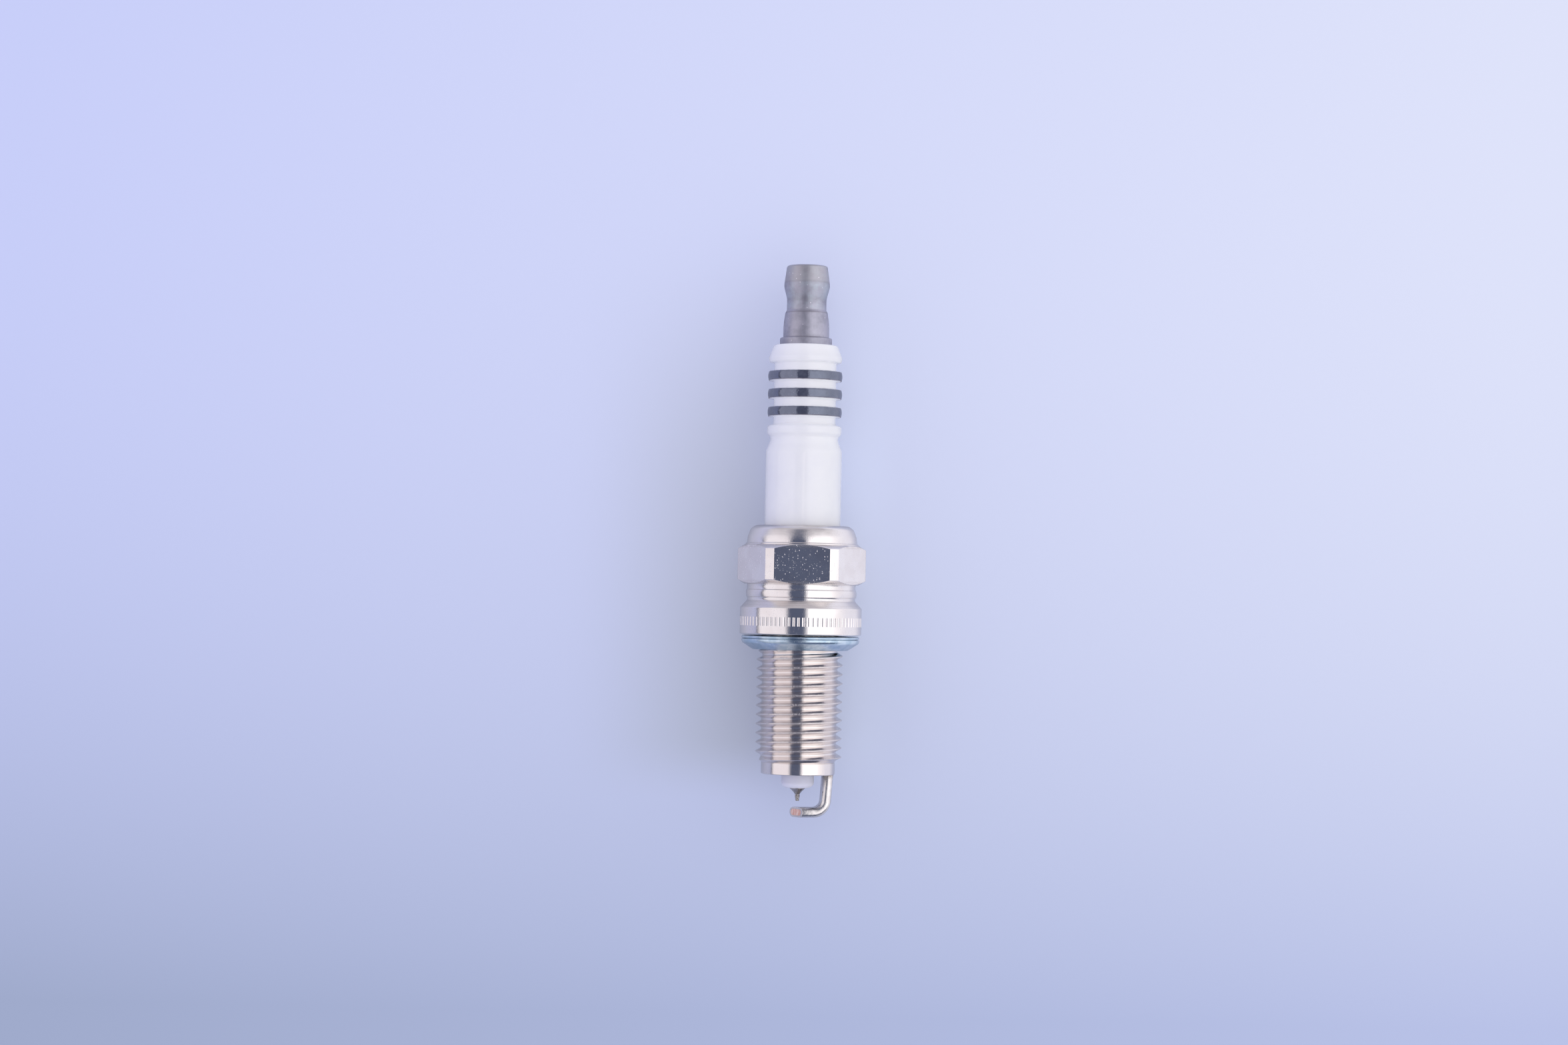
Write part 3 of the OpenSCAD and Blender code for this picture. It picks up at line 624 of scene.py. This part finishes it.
def shellThread():
    s = shell
    start = s["crestAtRight"] - s["pitch"] * s["turns"]
    half = (s["pitch"] - s["crestFlat"]) / 2
    apex = s["crest"] - half / tan(radians(30))
    outline = [
        (s["crest"], start), (s["crest"], start + s["crestFlat"] / 2, 0.05),
        (apex, start + s["pitch"] / 2, s["crest"] - apex - (s["crest"] - s["root"])),
        (s["crest"], start + s["pitch"] - s["crestFlat"] / 2, 0.05), (s["crest"], start + s["pitch"]),
    ]
    piece = chain("thread", rounded(outline, turn=12))
    bpy.ops.object.mode_set(mode="OBJECT")
    steps = 96
    applyModifier(piece, "SCREW", screw_offset=s["pitch"] * mm, iterations=s["turns"], steps=steps,
                  render_steps=steps)
    tidyMesh(piece)
    fadeLow = shellEnd + s["pilotLength"]
    for vertex in piece.data.vertices:  # the groove runs out at both ends
        p = vertex.co / mm
        share = min(1, s["shallow"] * clamp((0.9 - p.z) / 0.4) + max(0, -p.z / 0.55))
        share *= clamp((p.z - fadeLow - 0.1) * 2 / s["pitch"])
        sunk = 0.22 * (1 - clamp((p.z - fadeLow) / 0.3))
        now = hypot(p.x, p.y)
        wanted = s["root"] - sunk + (now - s["root"]) * share
        vertex.co.x *= wanted / now
        vertex.co.y *= wanted / now
    bpy.ops.object.mode_set(mode="EDIT")
    bpy.ops.mesh.select_all(action="DESELECT")
    bpy.ops.mesh.select_non_manifold()
    bpy.ops.mesh.fill_holes(sides=0)
    tidyMesh(piece)
    return piece


def shellBore():
    s = shell
    mouth, nose, ledge = s["mouthRadius"], s["noseBore"], s["ledgeRadius"]
    pocket, lip = s["pocketRadius"], s["lipRadius"]
    crimpLow = shellTop - s["crimpThick"]
    outline = [
        (0, shellEnd - 1), (mouth, shellEnd - 1), (mouth, shellEnd), (nose, shellEnd + 0.12),
        (nose, s["ledgeLow"] - 0.25), (ledge, s["ledgeLow"]), (ledge, s["ledgeTop"]),
        (s["boreRadius"], s["ledgeTop"] + 0.75), (s["boreRadius"], s["pocketLow"] - 1.9),
        (pocket, s["pocketLow"]), (pocket, crimpLow), (lip, crimpLow), (lip, shellTop - 0.12),
        (lip + 0.12, shellTop), (lip + 0.12, shellTop + 1), (0, shellTop + 1),
    ]
    return turned("bore", outline, steps=160)


def serrationCutter():
    s = shell
    begin()
    middle = seat + s["serrationFoot"] + s["serrationHeight"] / 2
    bpy.ops.mesh.primitive_cylinder_add(
        vertices=28, radius=s["serrationRadius"] * mm, depth=s["serrationHeight"] * mm,
        location=((s["flangeRadius"] + s["serrationOut"]) * mm, 0, middle * mm),
    )
    piece = bpy.context.object
    bpy.ops.object.transform_apply(location=True, rotation=True, scale=True)
    bpy.ops.object.mode_set(mode="EDIT")
    bpy.ops.mesh.select_all(action="SELECT")
    bpy.ops.mesh.spin(steps=s["serrations"], angle=tau, center=(0, 0, 0), axis=(0, 0, 1), dupli=True)
    tidyMesh(piece)
    return piece


def makeShell():
    piece = shellBody()
    combine(piece, shellHexagon(), "UNION")
    combine(piece, shellThread(), "UNION")
    combine(piece, shellBore(), "DIFFERENCE")
    combine(piece, serrationCutter(), "DIFFERENCE")
    finishPiece(piece, brightNickel(), ["shell"], smooth=24)


makeShell()

# gasket

gasket = {
    "outerRadius": 8.05,
    "lipRadius": 5.5,
    "slitHeight": 1.5,
    "slitRadius": 7.5,
    "slit": 0.07,
}


def blueZinc():
    material, paint = newPaint("blueZinc")
    patch = paint.noise(0.8, 3)
    grain = paint.noise(10, 2, 0.6)
    rings = paint.noise(5, 2, 0.5, paint.along(paint.radius(), 0, paint.z * 1.5))
    specks = paint.specks(3.4, 0.2, 0.18)
    tone = paint.blend(patch.rise(0.35, 0.65), (0.44, 0.58, 0.7), (0.62, 0.74, 0.83))
    tone = paint.blend(specks * 0.4, tone, (0.86, 0.92, 0.96))
    roughness = 0.17 + patch * 0.1 + grain * 0.06 + specks * 0.2
    surface(paint, tone, roughness, paint.bump(grain * 0.4 + rings * 0.6 + specks * 0.3, 0.012), Metallic=1.0)
    return material


def makeGasket():
    s = gasket
    outer, lip, slit = s["outerRadius"], s["lipRadius"], s["slitHeight"]
    outline = [
        (lip, 0.12, 0.06), (5.95, 0, 0.1), (6.5, 0, 0.5), (7.45, 0.62, 0.9), (7.92, 0.92, 0.25),
        (outer, 1.2, 0.2), (outer - 0.02, slit - s["slit"] / 2, 0.12),
        (s["slitRadius"], slit - s["slit"] / 2), (s["slitRadius"], slit + s["slit"] / 2),
        (outer - 0.02, slit + s["slit"] / 2, 0.1), (outer, 1.72, 0.15), (outer - 0.12, gasketTop, 0.14),
        (6.3, gasketTop, 0.2), (6.15, 1.45, 0.2), (6.15, 0.55, 0.1), (lip, 0.36, 0.1),
    ]
    piece = turned("gasket_ring", outline, closed=True, steps=160)
    finishPiece(piece, blueZinc(), ["gasket"], body="gasket_body")


makeGasket()

# electrodes

centre = {
    "rodRadius": 1.08,
    "headRadius": 1.75,
    "stubRadius": 1.2,
    "coneRadius": 0.33,
    "coreRadius": 0.6,
    "tipRadius": 0.25,
    "socket": 0.3,
}


def coneNickel():
    material, paint = newPaint("coneNickel")
    rings = paint.noise(12, 2, 0.6, paint.along(0, 0, paint.z))
    patch = paint.noise(2.2, 3)
    tone = paint.blend(patch.rise(0.3, 0.7), (0.36, 0.33, 0.31), (0.5, 0.47, 0.45))
    surface(paint, tone, 0.16 + patch * 0.12, paint.bump(rings + patch * 0.5, 0.014), Metallic=1.0)
    return material


def weldMetal():
    material, paint = newPaint("weldMetal")
    beads = paint.noise(5, 3, 0.7)
    tone = paint.blend(beads.rise(0.4, 0.65), (0.2, 0.17, 0.15), (0.62, 0.6, 0.58))
    surface(paint, tone, 0.2 + beads * 0.3, paint.bump(beads, 0.04), Metallic=1.0)
    return material


def iridiumMetal():
    material, paint = newPaint("iridiumMetal")
    lines = paint.noise(7, 2, 0.6, paint.stretched(1, 1, 0.6))
    tone = paint.blend(lines.rise(0.4, 0.6), (0.15, 0.14, 0.14), (0.55, 0.53, 0.5))
    surface(paint, tone, 0.25 + lines * 0.15, paint.bump(lines, 0.008), Metallic=1.0)
    return material


def makeCentreElectrode():
    s = centre
    seatCone = 1.2
    outline = [
        (s["coreRadius"], headTop), (s["stubRadius"], headTop, 0.05), (s["stubRadius"], headTop - 0.9),
        (s["headRadius"], headTop - 0.9, 0.05), (s["headRadius"], seatCone - 0.13), (s["rodRadius"], 0.4),
        (s["rodRadius"], noseEnd - 0.05, 0.03), (0.86, noseEnd - 0.25, 0.25), (0.6, noseEnd - 0.51, 0.3),
        (s["coneRadius"] + 0.07, coneEnd + 0.09, 0.3), (s["coneRadius"], coneEnd), (s["tipRadius"], coneEnd),
        (s["tipRadius"], coneEnd + s["socket"]), (0, coneEnd + s["socket"]),
        (0, coreLow), (s["coreRadius"], coreLow),
    ]
    piece = turned("centre_electrode_rod", outline, closed=True, steps=72, turn=10)
    finishPiece(piece, coneNickel(), ["centre_electrode"])


def makeTip():
    s = centre
    low, high = weldEnd, coneEnd
    outline = [
        (s["tipRadius"], high), (s["coneRadius"], high, 0.03), (s["coneRadius"] - 0.04, high - 0.12, 0.05),
        (s["coneRadius"] + 0.02, high - 0.25, 0.08), (s["coneRadius"] - 0.04, high - 0.37, 0.05),
        (s["coneRadius"] - 0.01, high - 0.46, 0.05),
        (s["tipRadius"] + 0.02, low, 0.03), (s["tipRadius"], low),
    ]
    weld = turned("weld_bead", outline, closed=True, steps=64, turn=15)
    for vertex in weld.data.vertices:  # pulses of the weld leave low waves round the joint
        p = vertex.co / mm
        now = hypot(p.x, p.y)
        if now > s["tipRadius"] + 0.03:
            wave = 0.012 * sin(7 * atan2(p.y, p.x) + 9 * p.z) + 0.008 * sin(11 * atan2(p.y, p.x) - 14 * p.z)
            vertex.co.x *= (now + wave - 0.012) / now
            vertex.co.y *= (now + wave - 0.012) / now
    finishPiece(weld, weldMetal(), ["tip_weld"], smooth=50)
    radius = s["tipRadius"] - 0.005
    outline = [(0, tipTop), (radius, tipTop, 0.02), (radius, tipEnd, 0.035), (0, tipEnd)]
    wire = turned("spark_tip", outline, steps=64, turn=20)
    finishPiece(wire, iridiumMetal(), ["iridium_tip"])


makeCentreElectrode()
makeTip()

strap = {
    "thick": 1.4,
    "wide": 2.4,
    "corner": 0.66,
    "wall": 0.25,
    "coreCorner": 0.43,
    "bend": 1.05,
    "lean": 4.0,
    "turnRound": 9.5,
    "legRadius": 4.12,
    "trim": 30.0,
    "trimX": -0.15,
    "coreDepth": 0.6,
    "coreSlack": 0.01,
}
barMiddle = strapEnd + strap["thick"] / 2


def bentBar(name, thick, wide, corner, top):  # leg, bend and arm swept from a rounded section
    s = strap
    lean = radians(s["lean"])
    bend = s["bend"] + s["thick"] / 2
    centreZ = barMiddle + bend
    legEnd = centreZ - bend * sin(lean)
    legX = s["legRadius"] - (shellEnd - legEnd) * tan(lean)
    centreX = legX - bend * cos(lean)
    begin()
    bpy.ops.mesh.primitive_plane_add(size=mm, location=(legX * mm, 0, legEnd * mm), rotation=(0, lean, 0))
    piece = bpy.context.object
    piece.name = name
    piece.scale = (thick, wide, 1)
    bpy.ops.object.transform_apply(location=True, rotation=True, scale=True)
    bpy.ops.object.mode_set(mode="EDIT")
    bpy.ops.mesh.select_all(action="SELECT")
    bpy.ops.mesh.bevel(offset=corner * mm, segments=8, affect="VERTICES")
    bpy.ops.mesh.select_all(action="SELECT")
    pivot = (centreX * mm, 0, centreZ * mm)
    bpy.ops.mesh.spin(steps=24, angle=-(pi / 2 - lean), center=pivot, axis=(0, 1, 0))
    arm = Vector((-(centreX + 3) * mm, 0, 0))  # past the trimmed end
    bpy.ops.mesh.extrude_region_move(TRANSFORM_OT_translate={"value": arm})
    bpy.ops.object.mode_set(mode="OBJECT")
    away = Vector((sin(lean), 0, cos(lean)))
    foot = Vector((legX * mm, 0, legEnd * mm))
    least = 1e-7  # square metres, well under the end face
    for face in piece.data.polygons:  # the sweep's first face is drawn up into the leg
        face.select = face.area > least and (face.center - foot).length < 0.1 * mm
    bpy.ops.object.mode_set(mode="EDIT")
    bpy.ops.mesh.extrude_region_move(TRANSFORM_OT_translate={"value": away * (top + 1 - legEnd) * mm})
    trimBy(Vector((0, 0, top)), Vector((0, 0, 1)))
    trim = radians(s["trim"])
    trimBy(Vector((s["trimX"], 0, 0)), Vector((-cos(trim), -sin(trim), 0)))
    tidyMesh(piece)
    return piece


def turnRound(piece):  # from over +X to its place round the axis
    turn = Matrix.Rotation(radians(strap["turnRound"]), 4, "Z")
    piece.data.transform(turn)


def strapNickel():
    material, paint = newPaint("strapNickel")
    patch = paint.noise(0.9, 3)
    grain = paint.noise(8, 3, 0.7)
    drawn = paint.noise(6, 2, 0.6, paint.stretched(0.35, 1.6, 0.35))
    tone = paint.blend(patch.rise(0.35, 0.65), (0.7, 0.67, 0.65), (0.8, 0.78, 0.76))
    heat = 1 - (shellEnd - paint.z).rise(0.15, 0.75)
    tone = paint.blend(heat * grain.rise(0.35, 0.6) * 0.8, tone, (0.25, 0.2, 0.17))
    roughness = 0.17 + patch * 0.08 + grain * 0.1 + heat * 0.15
    surface(paint, tone, roughness, paint.bump(drawn + grain * 0.6, 0.02), Metallic=1.0)
    return material


def shearedCopper():
    material, paint = newPaint("shearedCopper")
    marks = paint.noise(6, 3, 0.6, paint.stretched(1, 1, 0.2))
    patch = paint.noise(1.6, 2)
    tone = paint.blend(marks.rise(0.35, 0.65), (0.82, 0.46, 0.36), (1.0, 0.74, 0.64))
    tone = paint.blend(patch.rise(0.55, 0.7) * 0.5, tone, (0.95, 0.8, 0.74))
    surface(paint, tone, 0.34 + marks * 0.16, paint.bump(marks, 0.05), Metallic=1.0)
    return material


def makeStrap():
    s = strap
    bar = bentBar("ground_strap", s["thick"], s["wide"], s["corner"], shellEnd)
    applyModifier(bar, "BEVEL", width=0.05 * mm, segments=2, limit_method="ANGLE", angle_limit=radians(40))
    thick, wide = s["thick"] - 2 * s["wall"], s["wide"] - 2 * s["wall"]
    slack = s["coreSlack"]
    coreTop = shellEnd - s["coreDepth"]
    hollow = bentBar("hollow", thick, wide, s["coreCorner"], coreTop + slack)
    core = bentBar("strap_core", thick - 2 * slack, wide - 2 * slack, s["coreCorner"], coreTop)
    shift = Matrix.Translation((-slack * mm, 0, 0))
    hollow.data.transform(shift)
    combine(bar, hollow, "DIFFERENCE")
    for piece in (bar, core):
        turnRound(piece)
    finishPiece(bar, strapNickel(), ["ground_electrode"])
    finishPiece(core, shearedCopper(), ["ground_copper_core"])


makeStrap()

# pieces inside the insulator and the shell keep their CAD shape


def sealGlass():
    material, paint = newPaint("sealGlass")
    grains = paint.noise(6, 3, 0.6)
    tone = paint.blend(grains.rise(0.45, 0.6), (0.1, 0.09, 0.085), (0.42, 0.27, 0.2))
    surface(paint, tone, 0.45 + grains * 0.2, paint.bump(grains, 0.02))
    return material


def resistorMix():
    material, paint = newPaint("resistorMix")
    grains = paint.noise(9, 3, 0.6)
    tone = paint.blend(grains.rise(0.4, 0.7), (0.06, 0.05, 0.045), (0.19, 0.16, 0.14))
    surface(paint, tone, 0.7, paint.bump(grains, 0.015))
    return material


def drawnWire():
    material, paint = newPaint("drawnWire")
    lines = paint.noise(8, 2, 0.6, paint.along(paint.radius(), 0, paint.z))
    tone = paint.blend(lines, (0.42, 0.42, 0.43), (0.6, 0.6, 0.6))
    surface(paint, tone, 0.28 + lines * 0.15, paint.bump(lines, 0.01), Metallic=1.0)
    return material


def pressedTalc():
    material, paint = newPaint("pressedTalc")
    powder = paint.noise(12, 4, 0.7)
    tone = paint.blend(powder, (0.78, 0.76, 0.71), (0.9, 0.88, 0.84))
    surface(paint, tone, 0.9, paint.bump(powder, 0.03))
    return material


def drawnCopper():
    material, paint = newPaint("drawnCopper")
    lines = paint.noise(7, 2, 0.5, paint.stretched(1, 1, 0.1))
    tone = paint.blend(lines, (0.72, 0.4, 0.28), (0.88, 0.56, 0.44))
    surface(paint, tone, 0.25 + lines * 0.15, paint.bump(lines, 0.01), Metallic=1.0)
    return material


hiddenFinishes = {
    "upper_glass_seal": sealGlass, "lower_glass_seal": sealGlass, "resistor": resistorMix,
    "upper_packing_ring": drawnWire, "lower_packing_ring": drawnWire, "seat_washer": drawnWire,
    "talc_packing": pressedTalc, "electrode_copper_core": drawnCopper,
}
madeFinishes = {}
for node, makeFinish in hiddenFinishes.items():
    if makeFinish not in madeFinishes:
        madeFinishes[makeFinish] = makeFinish()
    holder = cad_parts[node]
    holder.data.materials.clear()
    holder.data.materials.append(madeFinishes[makeFinish])
print("inner pieces finished")

# table, light and camera

studio = {
    "tableGap": 8.85,
    "tableSize": 900.0,
    "tableMiddle": 17,
    "tableFade": (260, 430),
    "gradeLeft": -110,
    "gradeWidth": 210,
    "gradeTop": 85,
    "gradeDrop": 136,
    "gradePower": 2.5,
    "highLeft": (0.572, 0.615, 0.86),
    "highRight": (0.725, 0.76, 0.87),
    "lowLeft": (0.345, 0.4, 0.545),
    "lowRight": (0.48, 0.535, 0.73),
    "tableGlow": 0.15,
    # painted shadow on the table left of the plug, and painted light right of it
    "paintedShadow": (0.87, 0.865, 0.8),
    "paintedShadowSides": ((-34, -9), (-9, 5)),
    "paintedLight": (1.08, 1.09, 1.07),
    "paintedLightSides": ((2, 5), (7, 15)),
    "besidePlug": ((-22, -12), (18, 60)),
    "sheenLeft": (0.08, 0.06, 0.03),
    "sheenRight": (0.42, 0.38, 0.3),
    "sheenReach": (8, 26),
    "background": (0.74, 0.8, 1.0),
    "leftBox": (-87, -26, (1.02, 0.97, 1.04)),
    "rightBox": (10, 92, (1.2, 1.17, 1.22)),
    "lamp": (15, 76, (1.45, 1.42, 1.48)),
    "fade": 22,
    "boxEdge": 0.66,
    "boxSlope": -0.004,
    "boxSoft": 0.06,
    "dark": (0.105, 0.125, 0.2),
    "gap": (0.12, 0.12, 0.15),
    "farRight": (1.02, 1.0, 1.1),
    "overhead": (0.62, 0.6, 0.66),
    "overheadFrom": (0.4, 0.8),
    "overheadInBand": (0.7, 0.98),
    "below": (0.42, 0.42, 0.48),
    "belowFrom": (0.45, 0.85),
    "backFrom": (91, 95),
    "fillLeft": (0.72, 0.72, 0.9),
    "fillRight": (0.97, 0.97, 0.99),
    "fillTurn": (-70, 60),
}


def tint(paint, tone, mask, factor):
    inputs = {0: mask, 6: tone, 7: (*factor, 1)}
    return paint.node("ShaderNodeMix", {"data_type": "RGBA", "blend_type": "MULTIPLY"}, inputs, out=2)


def makeTable():
    s = studio
    begin()
    bpy.ops.mesh.primitive_plane_add(
        size=s["tableSize"] * mm, rotation=(radians(90), 0, 0),
        location=(0, s["tableGap"] * mm, s["tableMiddle"] * mm),
    )
    table = bpy.context.object
    table.name = "table"
    bpy.ops.object.transform_apply(location=True, rotation=True, scale=True)
    material, paint = newPaint("paleTable")
    # painted shading: the table's colour darkens towards the bottom and towards the left
    across = (paint.x - s["gradeLeft"]).share(s["gradeWidth"])
    lower = (s["gradeTop"] - paint.z).share(s["gradeDrop"]) ** s["gradePower"]
    high = paint.blend(across, s["highLeft"], s["highRight"])
    low = paint.blend(across, s["lowLeft"], s["lowRight"])
    tone = paint.blend(lower, high, low)
    # painted shadow: the table is greyer left of the plug; painted light: it is brighter right of the plug
    beside = paint.z.hump(*s["besidePlug"])
    tone = tint(paint, tone, beside * paint.x.hump(*s["paintedShadowSides"]), s["paintedShadow"])
    tone = tint(paint, tone, beside * paint.x.hump(*s["paintedLightSides"]), s["paintedLight"])
    matt = paint.node("ShaderNodeBsdfDiffuse", inputs={"Color": tone})
    path = paint.node("ShaderNodeLightPath", out=("Is Camera Ray", "Is Glossy Ray", "Is Transmission Ray"))
    plain = path[0].maths("MAXIMUM", path[2]) * s["tableGlow"]
    glow = paint.blend(plain, (0, 0, 0), tone)
    sheen = paint.blend(paint.x.rise(-30, 30), s["sheenLeft"], s["sheenRight"])
    # painted shadow: no glossy sheen near the plug, fading back in from 8 to 26 mm, and half of it low on the
    # left
    corner = (1 - paint.x.rise(-5, 5)) * (1 - paint.z.rise(-10, 4))  # weaker low on the left
    sheen = paint.blend(abs(paint.x).rise(*s["sheenReach"]) * (1 - corner * 0.5), (0, 0, 0), sheen)
    glow = paint.node("ShaderNodeEmission", inputs={"Color": paint.blend(path[1], glow, sheen)})
    lit = paint.node("ShaderNodeAddShader", inputs=[matt, glow])
    clear = paint.node("ShaderNodeBsdfTransparent")
    behind = paint.node("ShaderNodeNewGeometry", out="Backfacing")
    up = paint.z - s["tableMiddle"]
    away = (paint.x * paint.x + up * up) ** 0.5
    gone = behind.maths("MAXIMUM", away.rise(*s["tableFade"]))
    shader = paint.node("ShaderNodeMixShader", inputs=[gone, lit, clear])
    paint.node("ShaderNodeOutputMaterial", inputs=[shader])
    table.data.materials.append(material)


def makeWorld():
    s = studio
    world = bpy.data.worlds.new("studio")
    bpy.context.scene.world = world
    world.use_nodes = True
    paint = Paint(world.node_tree, "Generated")
    bearing = paint.bearing()
    leftStart, leftEnd, leftLight = s["leftBox"]  # soft boxes, each from one bearing to another
    rightStart, rightEnd, rightLight = s["rightBox"]
    lampStart, lampEnd, lampLight = s["lamp"]
    left = bearing.within(leftStart, leftEnd, 1.5)
    right = bearing.rise(rightStart - 1, rightStart + 1)
    farRight = bearing.rise(rightEnd - s["fade"], rightEnd)
    gap = 1 - bearing.rise(leftStart - 2, leftStart)
    lamp = bearing.hump((lampStart - 1, lampStart + 1), (lampEnd - s["fade"], lampEnd))
    light = paint.blend(left, s["dark"], leftLight)
    light = paint.blend(right, light, rightLight)
    light = paint.blend(lamp, light, lampLight)
    light = paint.blend(farRight, light, s["farRight"])
    light = paint.blend(gap, light, s["gap"])
    edge = (bearing - rightStart).maths("MAXIMUM", 0) * s["boxSlope"] + s["boxEdge"]
    under = (paint.z * -1 - edge).rise(0, s["boxSoft"]) * bearing.within(leftEnd, 90, 2)
    light = paint.blend(under, light, s["dark"])
    band = bearing.within(leftEnd, rightStart, 2)
    ceiling = paint.z.rise(*s["overheadFrom"]) * (1 - band) + paint.z.rise(*s["overheadInBand"]) * band
    light = paint.blend(ceiling, light, s["overhead"])
    light = paint.blend((paint.z * -1).rise(*s["belowFrom"]) * left, light, s["below"])
    light = paint.blend(abs(bearing).rise(*s["backFrom"]), light, s["background"])
    path = paint.node("ShaderNodeLightPath", out=("Is Diffuse Ray", "Is Camera Ray"))
    fill = paint.blend(bearing.rise(*s["fillTurn"]), s["fillLeft"], s["fillRight"])
    light = paint.blend(path[0], light, fill)
    light = paint.blend(path[1], light, s["background"])
    shader = paint.node("ShaderNodeBackground", inputs={"Color": light, "Strength": 1.0})
    paint.node("ShaderNodeOutputWorld", inputs=[shader])


camera = {
    "lens": 70.0,
    "sensor": 36.0,
    "distance": 416.5,
    "aimX": -2.53,
    "aimZ": 17.34,
    "below": 1.3,
    "lean": 1.12,
}


def makeCamera():
    s = camera
    below = radians(s["below"])
    aim = Vector((s["aimX"], 0, s["aimZ"])) * mm
    place = aim + Vector((0, -cos(below), -sin(below))) * s["distance"] * mm
    begin()
    bpy.ops.object.camera_add(location=place)
    eye = bpy.context.object
    turn = Matrix.Rotation(pi / 2 + below, 4, "X") @ Matrix.Rotation(radians(s["lean"]), 4, "Z")
    eye.matrix_world = Matrix.Translation(place) @ turn
    eye.data.lens = s["lens"]
    eye.data.sensor_width = s["sensor"]
    eye.data.clip_start = 1 * mm
    eye.data.clip_end = 20
    bpy.context.scene.camera = eye


makeTable()
makeWorld()
makeCamera()
bpy.context.scene.view_settings.view_transform = "Standard"
print("studio ready")
